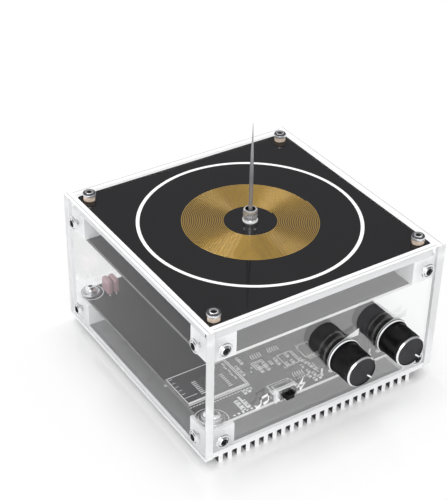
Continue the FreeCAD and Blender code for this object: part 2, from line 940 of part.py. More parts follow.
def power_inductor():
    x, y = board_place(inductor_place_shares)
    body = centred_block(x, y, inductor_side, inductor_side, main_board_top, inductor_height)
    uprights = [edge for edge in body.Edges if abs(edge.tangentAt(edge.FirstParameter).z) > 0.5]
    return body.makeChamfer(inductor_chamfer, uprights)


# Power transistors

def transistor_xs():
    return [side * transistor_spacing / 2 for side in sides]


def transistor_holes():
    y = transistor_y + transistor_depth / 2 - transistor_hole_inset
    return [(x, y) for x in transistor_xs()]


def transistor_seat_z():
    return base_top + transistor_pad


def transistor_tip_z():
    return transistor_seat_z() + transistor_height - transistor_screw_length


def transistor_pads():
    pads = []
    for x in transistor_xs():
        pads.append(centred_block(x, transistor_y, transistor_width + transistor_pad_overhang,
                                  transistor_depth + transistor_pad_overhang, base_top, transistor_pad))
    holes = [rod(transistor_hole_radius, transistor_pad, Vector(x, y, base_top))
             for x, y in transistor_holes()]
    return group([pad.cut(holes) for pad in pads])


def power_transistors():
    seat = transistor_seat_z()
    holes = [rod(transistor_hole_radius, transistor_height, Vector(x, y, seat))
             for x, y in transistor_holes()]
    return group([centred_block(x, transistor_y, transistor_width, transistor_depth, seat,
                                transistor_height).cut(holes) for x in transistor_xs()])


def transistor_leg_places():
    y = transistor_y - transistor_depth / 2 - transistor_leg_run + transistor_leg_thickness / 2
    return [(x + step * transistor_leg_pitch, y) for x in transistor_xs() for step in (-1, 0, 1)]


def transistor_legs():
    seat = transistor_seat_z() + transistor_leg_rise
    top = main_board_top + pin_stub
    body_face = transistor_y - transistor_depth / 2
    half = transistor_leg_width / 2
    legs = []
    for x, y in transistor_leg_places():
        level_run = block(x - half, x + half, body_face - transistor_leg_run, body_face,
                          seat, seat + transistor_leg_thickness)
        riser = centred_block(x, y, transistor_leg_width, transistor_leg_thickness, seat, top - seat)
        legs.append(joined([level_run, riser]))
    return group(legs)


def transistor_screws():
    top = transistor_seat_z() + transistor_height
    return group([moved(pan_screw(transistor_screw_length), x, y, top) for x, y in transistor_holes()])


# Inlets

def power_jack():
    y1 = inner_y - jack_gap
    body = block(power_jack_x - power_jack_width / 2, power_jack_x + power_jack_width / 2,
                 y1 - power_jack_depth, y1, main_board_top, main_board_top + power_jack_height)
    mouth = Vector(power_jack_x, y1, main_board_top + power_jack_axis)
    return body.cut(rod(power_jack_bore_radius, power_jack_bore_depth, mouth, forward))


def power_jack_pin():
    mouth = inner_y - jack_gap
    start = Vector(power_jack_x, mouth - power_pin_inset, main_board_top + power_jack_axis)
    return rod(power_pin_radius, power_jack_bore_depth - power_pin_inset, start, forward)


def audio_jack():
    y1 = inner_y - jack_gap
    body = block(audio_jack_x - audio_jack_width / 2, audio_jack_x + audio_jack_width / 2,
                 y1 - audio_jack_depth, y1, main_board_top, main_board_top + audio_jack_height)
    mouth = Vector(audio_jack_x, y1, main_board_top + audio_jack_axis)
    barrel = rod(audio_barrel_radius, audio_barrel_length + jack_gap, mouth, Vector(0, 1, 0))
    tip = Vector(audio_jack_x, y1 + audio_barrel_length + jack_gap, mouth.z)
    bore = rod(audio_jack_bore_radius, audio_barrel_length + audio_jack_depth - overrun, tip, forward)
    return joined([body, barrel]).cut(bore)


def audio_jack_nut():
    ring = rod(audio_nut_radius, audio_nut_height, Vector(0, 0, 0))
    ring = ring.cut(rod(audio_barrel_radius + thread_play, audio_nut_height, Vector(0, 0, 0)))
    return aimed(ring, Vector(audio_jack_x, half_depth, main_board_top + audio_jack_axis), Vector(0, 1, 0))


# Leads between the boards

def bent_lead(x, y):
    # Up from the main board, across and up again, with a tangent arc at each bend.
    low = main_board_top + lead_first_rise
    diagonal = lead_bend * math.sqrt(0.5)
    z0, z1 = main_board_top, primary_board_z - trace_height
    far_y = y + lead_side_run
    first_mid = Vector(x, y + lead_bend - diagonal, low + diagonal)
    second_mid = Vector(x, far_y - lead_bend + diagonal, low + 2 * lead_bend - diagonal)
    across = low + lead_bend
    edges = [Part.LineSegment(Vector(x, y, z0), Vector(x, y, low)).toShape(),
             Part.Arc(Vector(x, y, low), first_mid, Vector(x, y + lead_bend, across)).toShape(),
             Part.LineSegment(Vector(x, y + lead_bend, across),
                              Vector(x, far_y - lead_bend, across)).toShape(),
             Part.Arc(Vector(x, far_y - lead_bend, across), second_mid,
                      Vector(x, far_y, across + lead_bend)).toShape(),
             Part.LineSegment(Vector(x, far_y, across + lead_bend), Vector(x, far_y, z1)).toShape()]
    section = Part.Wire(Part.makeCircle(lead_radius, Vector(x, y, z0), up))
    return Part.Wire(edges).makePipeShell([section], True, False)


def primary_leads():
    # The pair ends under the middle of the primary winding's ring.
    x = (primary_inner_radius + primary_outer_radius) / 2
    y = lead_depth_share * (inner_y - board_margin)
    return [bent_lead(x + side * lead_spacing / 2, y) for side in sides]


def ground_lead():
    x, y = board_place(ground_lead_shares)
    return rod(ground_lead_radius, coil_board_z - main_board_top, Vector(x, y, main_board_top))


def internal_leads():
    return group(primary_leads() + [ground_lead()])


def all_nodes():
    nodes = {
        "heat_sink": heat_sink(),
        "front_panel": front_panel(),
        "back_panel": back_panel(),
        "left_panel": side_panel(-1),
        "right_panel": side_panel(1),
        "lower_corner_blocks": corner_blocks(base_top),
        "upper_corner_blocks": corner_blocks(primary_board_top),
        "front_panel_screws": end_panel_screws(-1),
        "back_panel_screws": end_panel_screws(1),
        "left_panel_screws": side_panel_screws(-1),
        "right_panel_screws": side_panel_screws(1),
        "base_screws": base_screws(),
        "main_board": main_board(),
        "board_nuts": board_nuts(),
        "board_screws": board_screws(),
        "primary_board": primary_board(),
        "primary_winding": primary_winding(),
        "primary_board_screws": primary_board_screws(),
        "top_plate": top_plate(),
        "coil_board": coil_board(),
        "secondary_winding": secondary_winding(),
        "top_nuts": top_nuts(),
        "top_screws": top_screws(),
        "needle_socket": needle_socket(),
        "needle_set_screw": set_screw(),
        "needle": needle(),
        "pot_tracks": group([pot_track(x) for x in knob_xs]),
        "pot_pins": pot_pins(),
        "pot_washers": pot_washers(),
        "pot_nuts": pot_nuts(),
        "switch_shell": switch_shell(),
        "switch_base": switch_base(),
        "switch_pins": switch_pins(),
        "switch_lever": switch_lever(),
        "module_board": module_board(),
        "module_chip": module_chip(),
        "module_pins": module_pins(),
        "driver_chips": driver_chips(),
        "chip_resistors": chip_resistors(),
        "film_capacitors": film_capacitors(),
        "film_capacitor_legs": film_legs(),
        "electrolytic_capacitors": electrolytic_capacitors(),
        "power_inductor": power_inductor(),
        "power_transistors": power_transistors(),
        "transistor_pads": transistor_pads(),
        "transistor_legs": transistor_legs(),
        "transistor_screws": transistor_screws(),
        "power_jack": power_jack(),
        "power_jack_pin": power_jack_pin(),
        "audio_jack": audio_jack(),
        "audio_jack_nut": audio_jack_nut(),
        "internal_leads": internal_leads(),
    }
    for side, x in zip(("left", "right"), knob_xs):
        nodes[side + "_pot_case"] = pot_case(x)
    for side, x in zip(("left", "right"), knob_xs):
        nodes[side + "_pot_shaft"] = pot_shaft(x)
        nodes[side + "_knob_shell"] = knob_shell(x)
        nodes[side + "_knob_core"] = knob_core(x)
    return nodes


os.makedirs("parts", exist_ok=True)
for node, shape in all_nodes().items():
    shape.exportStep("parts/" + node + ".step")
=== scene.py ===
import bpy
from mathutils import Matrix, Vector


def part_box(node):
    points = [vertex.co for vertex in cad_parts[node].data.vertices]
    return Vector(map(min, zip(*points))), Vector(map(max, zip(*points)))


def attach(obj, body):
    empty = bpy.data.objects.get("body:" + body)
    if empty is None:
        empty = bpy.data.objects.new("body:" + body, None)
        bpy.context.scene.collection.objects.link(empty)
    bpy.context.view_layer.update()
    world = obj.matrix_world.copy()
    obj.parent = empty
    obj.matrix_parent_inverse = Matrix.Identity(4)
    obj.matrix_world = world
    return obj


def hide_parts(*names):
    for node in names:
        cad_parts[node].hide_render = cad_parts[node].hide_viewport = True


bl_info = {
    "name": "Desktop Resonant Transformer",
    "version": (1, 0, 0),
    "blender": (4, 5, 0),
    "location": "View3D > Sidebar > Transformer",
    "description": "Dresses a clear-cased desktop transformer around its packed solids",
    "category": "Object",
}

import math

import bpy
from bpy.props import FloatProperty, FloatVectorProperty, IntProperty, PointerProperty
from mathutils import Matrix, Vector

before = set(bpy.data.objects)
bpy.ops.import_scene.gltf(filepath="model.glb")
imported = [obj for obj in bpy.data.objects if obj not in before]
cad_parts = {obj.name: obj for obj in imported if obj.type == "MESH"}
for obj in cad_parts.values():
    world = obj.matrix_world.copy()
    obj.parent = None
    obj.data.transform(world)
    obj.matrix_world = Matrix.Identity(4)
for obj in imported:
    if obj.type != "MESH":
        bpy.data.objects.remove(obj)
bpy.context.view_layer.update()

MM = 0.001
ROOT = "case"
SIDES = ("left", "right")
WHITE = (1.0, 1.0, 1.0, 1.0)
THREAD_PITCH = 0.5 * MM

# Shapes are in millimetres. So are these two, the pitch of small legs and the height of print on a board.
PIN_PITCH = 1.27
PRINT = 0.02


def colour(name, description, default):
    return FloatVectorProperty(name=name, description=description, default=default, subtype="COLOR",
                               size=3, min=0, max=1)


def length(name, description, millimetres):
    return FloatProperty(name=name, description=description, default=millimetres * MM,
                         unit="LENGTH", subtype="DISTANCE")


def portion(name, description, default):
    return FloatProperty(name=name, description=description, default=default, min=0, max=1, subtype="FACTOR")


def watts(name, description, default):
    return FloatProperty(name=name, description=description, default=default, unit="POWER")


class CaseSettings(bpy.types.PropertyGroup):
    edge_round: length("Edge round", "Radius that flame polishing leaves on the clear sheets", 0.3)
    sheet_gap: length("Sheet gap", "Air left between two clear faces that touch", 0.02)
    clear_tint: colour("Clear tint", "Colour of the clear acrylic", (0.996, 1.0, 1.0))
    edge_tint: colour("Edge tint", "Colour of the sawn edges", (0.985, 0.99, 0.995))
    front_haze: portion("Front haze", "Milky share of the front and back sheets", 0.004)
    aluminium: colour("Aluminium", "Colour of the finned heat sink", (0.97, 0.97, 0.98))
    print_height: length("Print height", "Thickness of the ink on the front panel", 0.03)


class CoilSettings(bpy.types.PropertyGroup):
    turns: IntProperty(name="Turns", description="Turns of the printed winding", default=24, min=1)
    trace_share: FloatProperty(name="Trace share", description="Trace width as a share of the pitch",
                               default=0.64, min=0.1, max=0.9)
    ring_radius: length("Ring radius", "Middle radius of the white ring round the winding", 53.0)
    ring_width: length("Ring width", "Width of the white ring", 1.7)
    mask: colour("Mask", "Colour of the coil board's solder mask", (0.0062, 0.006, 0.007))
    gold: colour("Gold", "Colour of the plated traces", (0.66, 0.385, 0.022))
    ink: colour("Ink", "Colour of the white print", (0.94, 0.94, 0.94))


class KnobSettings(bpy.types.PropertyGroup):
    flutes: IntProperty(name="Flutes", description="Fine flutes round each knob", default=72, min=3)
    flute_depth: length("Flute depth", "Depth of the flutes", 0.16)
    pointer_angle: FloatProperty(name="Pointer angle", description="Pointer, clockwise from straight up",
                                 default=math.radians(133), subtype="ANGLE")
    body: colour("Body", "Colour of the black anodised body", (0.004, 0.004, 0.0045))
    face: colour("Face", "Colour of the turned front face", (0.022, 0.022, 0.026))


class BoardSettings(bpy.types.PropertyGroup):
    line_width: length("Line width", "Width of the white outlines on the boards", 0.6)
    mask: colour("Mask", "Colour of the inner boards' solder mask", (0.026, 0.025, 0.030))
    silk: colour("Silk", "Colour of the outlines on the main board", (0.99, 0.99, 1.0))
    laminate: colour("Laminate", "Colour of the bare board edges", (0.86, 0.855, 0.84))
    solder: colour("Solder", "Colour of tinned pads and legs", (0.98, 0.98, 0.985))


class StageSettings(bpy.types.PropertyGroup):
    floor: colour("Floor", "Colour of the pale floor", (0.96, 0.96, 0.962))
    floor_white: portion("Floor white", "Share of plain white that the camera sees", 0.8)
    key_power: watts("Key lamp", "Power of the soft lamp high on the right", 1.4)
    back_power: watts("Back lamp", "Power of the soft lamp high behind the object", 2.2)
    front_power: watts("Front lamp", "Power of the wide soft lamp at the front left", 2.9)
    sky: FloatProperty(name="Sky", description="Strength of the even light from all round", default=1.0)


class Value:
    """A shader link that takes plain sums. Each sum adds its Math node."""

    def __init__(self, recipe, socket):
        self.recipe = recipe
        self.socket = socket

    def maths(self, operation, *values):
        return self.recipe.add("ShaderNodeMath", 0, {"operation": operation}, dict(enumerate(values)))

    def __add__(self, other):
        return self.maths("ADD", self, other)

    def __sub__(self, other):
        return self.maths("SUBTRACT", self, other)

    def __rsub__(self, other):
        return self.maths("SUBTRACT", other, self)

    def __mul__(self, other):
        return self.maths("MULTIPLY", self, other)

    def __gt__(self, other):
        return self.maths("GREATER_THAN", self, other)

    def __lt__(self, other):
        return self.maths("LESS_THAN", self, other)

    def __abs__(self):
        return self.maths("ABSOLUTE", self)

    def highest(self, other):
        return self.maths("MAXIMUM", self, other)

    def lowest(self, other):
        return self.maths("MINIMUM", self, other)

    def waves(self, pitch):
        """Even ridges, one for each pitch that the value grows by."""
        angle = self * (2 * math.pi / pitch)
        return self.maths("SINE", angle)

    def power(self, exponent):
        return self.maths("POWER", self, exponent)

    def root(self):
        return self.maths("SQRT", self)

    __radd__ = __add__
    __rmul__ = __mul__


class Recipe:
    """One material, or a tree that is there already, with the few calls that fill it."""

    def __init__(self, name, tree=None):
        if tree is None:
            self.material = bpy.data.materials.new(name)
            self.material.use_nodes = True
            tree = self.material.node_tree
        self.tree = tree
        self.tree.nodes.clear()

    def add(self, kind, output=0, settings=None, inputs=None):
        """Adds any node: its settings first, then the values or links of its sockets."""
        node = self.tree.nodes.new(kind)
        for name, value in (settings or {}).items():
            if name == "stops":
                self.set_stops(node.color_ramp.elements, value)
            else:
                setattr(node, name, value)
        for name, value in (inputs or {}).items():
            if isinstance(value, Value):
                self.tree.links.new(value.socket, node.inputs[name])
            elif value is not None:
                node.inputs[name].default_value = value
        return Value(self, node.outputs[output]) if node.outputs else node

    def set_stops(self, elements, stops):
        while len(elements) < len(stops):
            elements.new(1)
        for element, (place, shade) in zip(elements, stops):
            element.position = place
            element.color = shade

    def place(self):
        return self.add("ShaderNodeTexCoord", "Object")

    def parts(self, vector):
        split = self.tree.nodes.new("ShaderNodeSeparateXYZ")
        self.tree.links.new(vector.socket, split.inputs[0])
        return [Value(self, split.outputs[axis]) for axis in range(3)]

    def normal_parts(self):
        return self.parts(self.add("ShaderNodeNewGeometry", "True Normal"))

    def ray(self, kind):
        return self.add("ShaderNodeLightPath", "Is " + kind + " Ray")

    def noise(self, scale, detail=2.0, stretch=None, roughness=0.5):
        vector = self.place()
        if stretch:
            vector = self.add("ShaderNodeVectorMath", 0, {"operation": "MULTIPLY"}, {0: vector, 1: stretch})
        return self.add("ShaderNodeTexNoise", "Fac", None,
                        {"Vector": vector, "Scale": scale, "Detail": detail, "Roughness": roughness})

    def mixed(self, share, first, second):
        return self.add("ShaderNodeMix", 2, {"data_type": "RGBA"}, {0: share, 6: first, 7: second})

    def ramp(self, value, stops):
        return self.add("ShaderNodeValToRGB", 0, {"stops": stops}, {"Fac": value})

    def bump(self, height, strength, distance):
        return self.add("ShaderNodeBump", 0, None,
                        {"Height": height, "Strength": strength, "Distance": distance})

    def principled(self, base, roughness, metallic=0.0, normal=None, **more):
        inputs = {"Base Color": base, "Roughness": roughness, "Metallic": metallic, "Normal": normal}
        inputs.update({name.replace("_", " "): value for name, value in more.items()})
        return self.add("ShaderNodeBsdfPrincipled", 0, None, inputs)

    def shaders(self, share, first, second):
        return self.add("ShaderNodeMixShader", 0, None, {0: share, 1: first, 2: second})

    def finished(self, shader):
        self.add("ShaderNodeOutputMaterial", 0, None, {"Surface": shader})
        return self.material

    def solid(self, *values, **more):
        return self.finished(self.principled(*values, **more))


def rgba(shade, factor=1.0):
    return (shade[0] * factor, shade[1] * factor, shade[2] * factor, 1.0)


def settings(name):
    return getattr(bpy.context.scene, name)


# Finishes

def clear_acrylic(name, face_axis, haze, index, coat, foot_top):
    """Clear sheet with polished faces and holes and a little haze.

    Its outer edges are milky, and so is its foot. A seam shows where another sheet's face ends on an edge.
    """
    case = settings("case_settings")
    edge_reach, middle_height, edge_height = 60.5 * MM, 41.0 * MM, 34.6 * MM
    seam_reach, seam_half = 63.4 * MM, 0.28 * MM
    r = Recipe(name)
    streaks = r.noise(330.0, 3.0, (0.3, 0.3, 1.2), 0.6)
    turn = r.normal_parts()
    spot = r.parts(r.place())
    across = abs(spot[1]) if face_axis == 0 else abs(spot[0])
    if face_axis == 2:
        across = across.highest(abs(spot[1]))
    outer = (across > edge_reach).highest(abs(spot[2] - middle_height) > edge_height)
    foot = spot[2] < foot_top
    edges = foot.highest((abs(turn[face_axis]) < 0.9) * outer)
    seam = (abs(abs(spot[face_axis]) - seam_reach) < seam_half) * (abs(turn[2]) > 0.5)
    tint = r.mixed(edges, rgba(case.clear_tint), rgba(case.edge_tint))
    glass = r.principled(tint, edges * (streaks * 0.22 + 0.04), 0.0, None,
                         Transmission_Weight=1.0, IOR=index, Coat_Weight=coat, Coat_IOR=1.74)
    clear_white = r.mixed(streaks, rgba(case.edge_tint), rgba(case.edge_tint, 0.9))
    white = r.mixed(seam * edges, clear_white, rgba(case.edge_tint, 0.55))
    milk = r.principled(white, 0.35, 0.0, r.bump(streaks, 0.3, 0.0002))
    upright = (abs(turn[2]) < 0.5) * (1.0 - foot)
    sheet = r.shaders(edges * (streaks * 0.12 + 0.85 - upright * 0.14) + haze, glass, milk)
    return r.finished(lit_through(r, sheet, edges * 0.85))


def clear_block():
    """Small sawn blocks, milky all over."""
    case = settings("case_settings")
    r = Recipe("clear_block")
    clouds = r.noise(240.0, 3.0)
    glass = r.principled(rgba(case.clear_tint), 0.06, 0.0, None, Transmission_Weight=1.0, IOR=1.49)
    milk = r.principled(rgba(case.edge_tint), clouds * 0.3 + 0.2, 0.0, r.bump(clouds, 0.3, 0.0002))
    return r.finished(lit_through(r, r.shaders(clouds * 0.08 + 0.91, glass, milk), clouds * 0.1))


def seen_by(r):
    """One for what the eye, a reflection or clear material sees, and nothing for light on its way."""
    return (r.ray("Camera") + r.ray("Glossy") + r.ray("Transmission")).lowest(1.0)


def lit_through(r, sheet, milky):
    """Lets the light shine through a clear finish, but not through its milky parts."""
    lamps = (1.0 - seen_by(r)) * (1.0 - milky)
    clear = r.add("ShaderNodeBsdfTransparent", 0, None, {"Color": (0.985, 0.985, 0.99, 1)})
    return r.shaders(lamps, sheet, clear)


def bright_aluminium():
    """Bright sawn ends. Between the fins and on top of the plate the colour is darkened as painted shade."""
    shade = settings("case_settings").aluminium
    fin_root, plate_level = 4.05 * MM, 5.0 * MM
    r = Recipe("bright_aluminium")
    lines = r.noise(3000.0, 2.0, (1.0, 0.012, 1.0))
    clouds = r.noise(90.0, 3.0)
    height = r.parts(r.place())[2]
    turn = r.normal_parts()
    ends = abs(turn[1]) > 0.5
    # Painted shade: the fin sides and the floor between the fins are darkened to a twentieth.
    fin_gap_painted_shade = (height < fin_root) * (1.0 - ends)
    bright = r.mixed(clouds * 0.6, rgba(shade), rgba(shade, 0.86))
    # Painted shade: the upward faces on top of the plate, under the board, are darkened.
    plate = r.mixed((turn[2] > 0.5) * (height > plate_level), bright, rgba(shade, 0.32))
    base = r.mixed(fin_gap_painted_shade, plate, rgba(shade, 0.05))
    rough = lines * 0.18 + clouds * 0.1 + 0.3
    return r.solid(base, rough, 0.0, r.bump(lines, 0.12, 0.00005))


def board_finish(name, mask, level, gloss):
    """Black solder mask on both faces, bare glass laminate on the edges, with painted shade darkening the
    edges that face along X.
    """
    board = settings("board_settings")
    r = Recipe(name)
    turn = r.normal_parts()
    edges = abs(turn[2]) < 0.5
    clouds = r.noise(70.0, 3.0)
    black = r.mixed(clouds, rgba(mask, 0.85), rgba(mask, 1.25))
    layers = r.noise(900.0, 2.0, (0.1, 0.1, 2.5))
    pale = r.mixed(layers, rgba(board.laminate), rgba(board.laminate, 0.72))
    # Painted shade: edges facing along X are darkened to a fifth of the laminate colour.
    sawn = r.mixed(abs(turn[0]) > 0.5, pale, rgba(board.laminate, 0.2))
    base = r.mixed(edges, black, sawn)
    rough = edges * 0.45 + clouds * 0.05 + gloss
    return r.solid(base, rough, 0.0, None, Specular_IOR_Level=level)


def gold_plate():
    """Gold over copper, a little cloudy."""
    r = Recipe("gold_trace")
    clouds = r.noise(160.0, 3.0)
    gold = settings("coil_settings").gold
    base = r.mixed(clouds, rgba(gold), rgba(gold, 0.82))
    return r.solid(base, clouds * 0.08 + 0.26, 1.0, None,
                   Coat_Weight=1.0, Coat_Roughness=0.14, Coat_IOR=1.75)


def ink(name, shade):
    """Matt print with a fine grain."""
    r = Recipe(name)
    grain = r.noise(2600.0, 3.0)
    base = r.mixed(grain * 0.4, rgba(shade), rgba(shade, 0.88))
    return r.solid(base, grain * 0.2 + 0.45, 0.0, r.bump(grain, 0.15, 0.00002))


def plated(name, shade, rough, wear=0.25, thread_axis=None, face_at=0.0, metal=1.0):
    """Plated or polished metal. A shank along thread_axis has a thread as far out as face_at."""
    r = Recipe(name)
    clouds = r.noise(420.0, 3.0)
    scratches = r.noise(1600.0, 2.0, (1.0, 0.15, 0.6))
    base = r.mixed(clouds * wear, rgba(shade), rgba(shade, 0.7))
    height = scratches * 0.12
    if thread_axis is not None:
        along = r.parts(r.place())[thread_axis]
        round_face = abs(r.normal_parts()[thread_axis]) < 0.2
        inside = abs(along) < face_at
        height = height + along.waves(THREAD_PITCH) * round_face * inside
    rough_value = clouds * wear * 0.3 + scratches * 0.05 + rough
    return r.solid(base, rough_value, metal, r.bump(height, 0.5, 0.00012))


def needle_steel():
    """Drawn steel, with fine marks along it."""
    r = Recipe("needle_steel")
    draw_marks = r.noise(3000.0, 2.0, (1.0, 1.0, 0.08))
    base = r.mixed(draw_marks, (0.40, 0.40, 0.42, 1), (0.30, 0.30, 0.32, 1))
    return r.solid(base, draw_marks * 0.1 + 0.1, 0.45, r.bump(draw_marks, 0.1, 0.00002))


def tin_plate(name):
    """Bright tinned sheet, half matt, as on small pressed shells."""
    r = Recipe(name)
    clouds = r.noise(300.0, 3.0)
    grain = r.noise(2400.0, 2.0, (1.0, 0.2, 1.0))
    base = r.mixed(clouds, (0.98, 0.98, 0.98, 1), (0.92, 0.92, 0.93, 1))
    return r.solid(base, clouds * 0.12 + 0.24, 0.12, r.bump(grain, 0.15, 0.00004))


def switch_steel():
    """Bright tinned sheet at the front of the switch; behind it the sheet is painted dark grey as shade."""
    r = Recipe("switch_steel")
    front_depth = 1.9 * MM
    painted_shade_rear = r.parts(r.place())[1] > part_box("switch_shell")[0].y + front_depth
    clouds = r.noise(300.0, 3.0)
    bright = r.mixed(clouds, (1.0, 1.0, 1.0, 1), (0.94, 0.94, 0.95, 1))
    # Painted shade: the shell behind its front is coloured dark grey.
    base = r.mixed(painted_shade_rear, bright, (0.09, 0.09, 0.095, 1))
    return r.solid(base, clouds * 0.12 + 0.3, 0.05, r.bump(clouds, 0.15, 0.00004))


def head_chrome():
    """Screw heads with the upward crown painted dark as a reflection, and a bright side. The shank below has
    a thread.
    """
    nut_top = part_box("top_nuts")[1].z
    r = Recipe("dark_chrome")
    turn = r.normal_parts()[2]
    height = r.parts(r.place())[2]
    # Painted reflection: the upward faces of the heads above the nuts are coloured dark.
    crown = (turn > 0.35) * (height > nut_top)
    clouds = r.noise(420.0, 3.0)
    bright = r.mixed(clouds, (0.9, 0.9, 0.91, 1), (0.6, 0.6, 0.62, 1))
    base = r.mixed(crown, bright, (0.10, 0.10, 0.11, 1))
    ridges = height.waves(THREAD_PITCH) * (abs(turn) < 0.2) * (height < nut_top)
    return r.solid(base, clouds * 0.1 + 0.08, 0.6, r.bump(ridges, 0.5, 0.00012))


def turned_metal(name, shade, rough, metallic, pitch, centre):
    """Metal with the fine rings that a lathe leaves, round an axis along Y through centre."""
    r = Recipe(name)
    x, _, z = r.parts(r.place())
    across = x - centre[0]
    rise = z - centre[2]
    radius = (across * across + rise * rise).root()
    wobble = r.noise(700.0, 2.0)
    base = r.mixed(wobble, rgba(shade), rgba(shade, 1.35))
    bump = r.bump(radius.waves(pitch) + wobble * 0.6, 0.6, 0.00004)
    return r.solid(base, rough, metallic, bump)


def moulded(name, shade, rough=0.42, grain=2200.0, coat=0.0, level=0.4):
    """Moulded or anodised, with a fine grain and, if asked, a clear coat."""
    r = Recipe(name)
    sparks = r.noise(grain, 3.0)
    clouds = r.noise(120.0, 2.0)
    base = r.mixed(clouds, rgba(shade), rgba(shade, 1.3))
    return r.solid(base, sparks * 0.15 + rough, 0.0, r.bump(sparks, 0.2, 0.00003),
                   Coat_Weight=coat, Coat_Roughness=0.08, Specular_IOR_Level=level)


def tinned():
    """Solder and tinned legs."""
    r = Recipe("tinned")
    shade = settings("board_settings").solder
    blotches = r.noise(900.0, 3.0)
    base = r.mixed(blotches, rgba(shade), rgba(shade, 0.85))
    return r.solid(base, blotches * 0.25 + 0.2, 0.08, r.bump(blotches, 0.4, 0.00006))


def glazed():
    """The dark glaze over the middle of a flat resistor."""
    r = Recipe("resistor_glaze")
    grains = r.noise(1500.0, 3.0)
    base = r.ramp(grains, [(0.3, (0.05, 0.05, 0.052, 1)), (0.7, (0.09, 0.09, 0.092, 1))])
    return r.solid(base, grains * 0.2 + 0.3, 0.0, r.bump(grains, 0.3, 0.00004))


def can_sleeve():
    """A black plastic sleeve whose flat top shows the bare aluminium can."""
    just_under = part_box("electrolytic_capacitors")[1].z - 0.05 * MM
    r = Recipe("capacitor_sleeve")
    top = (r.parts(r.place())[2] > just_under) * (r.normal_parts()[2] > 0.9)
    grains = r.noise(800.0, 2.0)
    base = r.mixed(top, r.mixed(grains, (0.012, 0.013, 0.018, 1), (0.02, 0.021, 0.028, 1)),
                   (0.78, 0.78, 0.80, 1))
    return r.solid(base, grains * 0.12 + 0.25, top * 0.95, r.bump(grains, 0.15, 0.00004))


class Builder:
    """Collects the points, in millimetres, and the faces of one piece, with a finish number for each face."""

    def __init__(self):
        self.points = []
        self.faces = []

    def put(self, points, place):
        points = [Vector(point) * MM for point in points]
        self.points += [place @ point for point in points] if place else points

    def add(self, points, faces, finish=0, smooth=False, place=None):
        start = len(self.points)
        self.put(points, place)
        for face in faces:
            self.faces.append(([start + index for index in face], finish, smooth))

    def box(self, low, high, finish=0, place=None):
        corners = [(x, y, z) for x in (low[0], high[0]) for y in (low[1], high[1]) for z in (low[2], high[2])]
        sides = ((0, 1, 3, 2), (4, 6, 7, 5), (0, 4, 5, 1), (2, 3, 7, 6), (0, 2, 6, 4), (1, 5, 7, 3))
        self.add(corners, sides, finish, False, place)

    def prism(self, outline, low, high, finish=0, place=None):
        """A flat outline of (x, y) points, anticlockwise, between two heights."""
        count = len(outline)
        points = [(x, y, low) for x, y in outline] + [(x, y, high) for x, y in outline]
        faces = [tuple(reversed(range(count))), tuple(range(count, 2 * count))]
        faces += [(i, (i + 1) % count, count + (i + 1) % count, count + i) for i in range(count)]
        self.add(points, faces, finish, False, place)

    def lathe(self, profile, steps, place=None, shift=None, smooth=True, hollow=False):
        """Turns (radius, height, finish) rings about Z. The finish is of the band after each ring.

        A hollow profile closes on itself. The ends of any other get a flat cap.
        """
        points = []
        for radius, height, _ in profile:
            for step in range(steps):
                angle = 2 * math.pi * step / steps
                grown = radius + (shift(radius, height, step) if shift else 0)
                points.append((grown * math.cos(angle), grown * math.sin(angle), height))
        first = len(self.points)
        self.put(points, place)
        for ring, (_, _, finish) in enumerate(profile if hollow else profile[:-1]):
            low = first + ring * steps
            high = first + (ring + 1) % len(profile) * steps
            for step in range(steps):
                after = (step + 1) % steps
                self.faces.append(([low + step, low + after, high + after, high + step], finish, smooth))
        last = first + (len(profile) - 1) * steps
        for start, (radius, _, finish) in ((first, profile[0]), (last, profile[-1])):
            if radius > 0 and not hollow:
                ring = list(range(start, start + steps))
                if start == first:
                    ring.reverse()
                self.faces.append((ring, finish, False))

    def ring(self, x, y, inner, outer, low, high, steps=96):
        """A flat ring with square edges round the point x, y."""
        profile = [(inner, low, 0), (outer, low, 0), (outer, high, 0), (inner, high, 0)]
        self.lathe(profile, steps, Matrix.Translation((x * MM, y * MM, 0)), None, False, True)

    def mesh(self, name, sharp=40):
        mesh = bpy.data.meshes.new(name)
        mesh.from_pydata(self.points, [], [face for face, _, _ in self.faces])
        for polygon, (_, finish, smooth) in zip(mesh.polygons, self.faces):
            polygon.material_index = finish
            polygon.use_smooth = smooth
        mesh.set_sharp_from_angle(angle=math.radians(sharp))
        mesh.validate()
        return mesh


def piece(name, builder, body=ROOT, materials=(), bevel=0.0, sharp=40):
    """Makes a piece from a builder, gives it its finishes and hangs it on its body."""
    item = bpy.data.objects.new(name, builder.mesh(name, sharp))
    bpy.context.scene.collection.objects.link(item)
    for material in materials:
        item.data.materials.append(material)
    if bevel:
        soften(item, bevel)
    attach(item, body)
    return item


def soften(item, width):
    """Rounds the edges a little, by a width in millimetres, so that they catch the light."""
    bevel = item.modifiers.new("Edge round", "BEVEL")
    bevel.width = width * MM
    bevel.segments = 2
    bevel.limit_method = "ANGLE"
    bevel.angle_limit = math.radians(35)
    bevel.use_clamp_overlap = True
    shading = item.modifiers.new("Face shading", "WEIGHTED_NORMAL")
    shading.keep_sharp = True
    shading.weight = 100


def dress(nodes, material, width=0.0, slip=0.0):
    """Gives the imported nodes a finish, with softened edges and, if asked, a small air gap."""
    for name in nodes:
        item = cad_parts[name]
        item.data.materials.clear()
        item.data.materials.append(material)
        if width or slip:
            weld = item.modifiers.new("Joined faces", "WELD")
            weld.merge_threshold = 0.002 * MM
            flat = item.modifiers.new("Whole faces", "DECIMATE")
            flat.decimate_type = "DISSOLVE"
            flat.angle_limit = math.radians(0.5)
        if slip:
            gap = item.modifiers.new("Air gap", "DISPLACE")
            gap.strength = -slip * MM
            gap.mid_level = 0.0
        if width:
            soften(item, width)


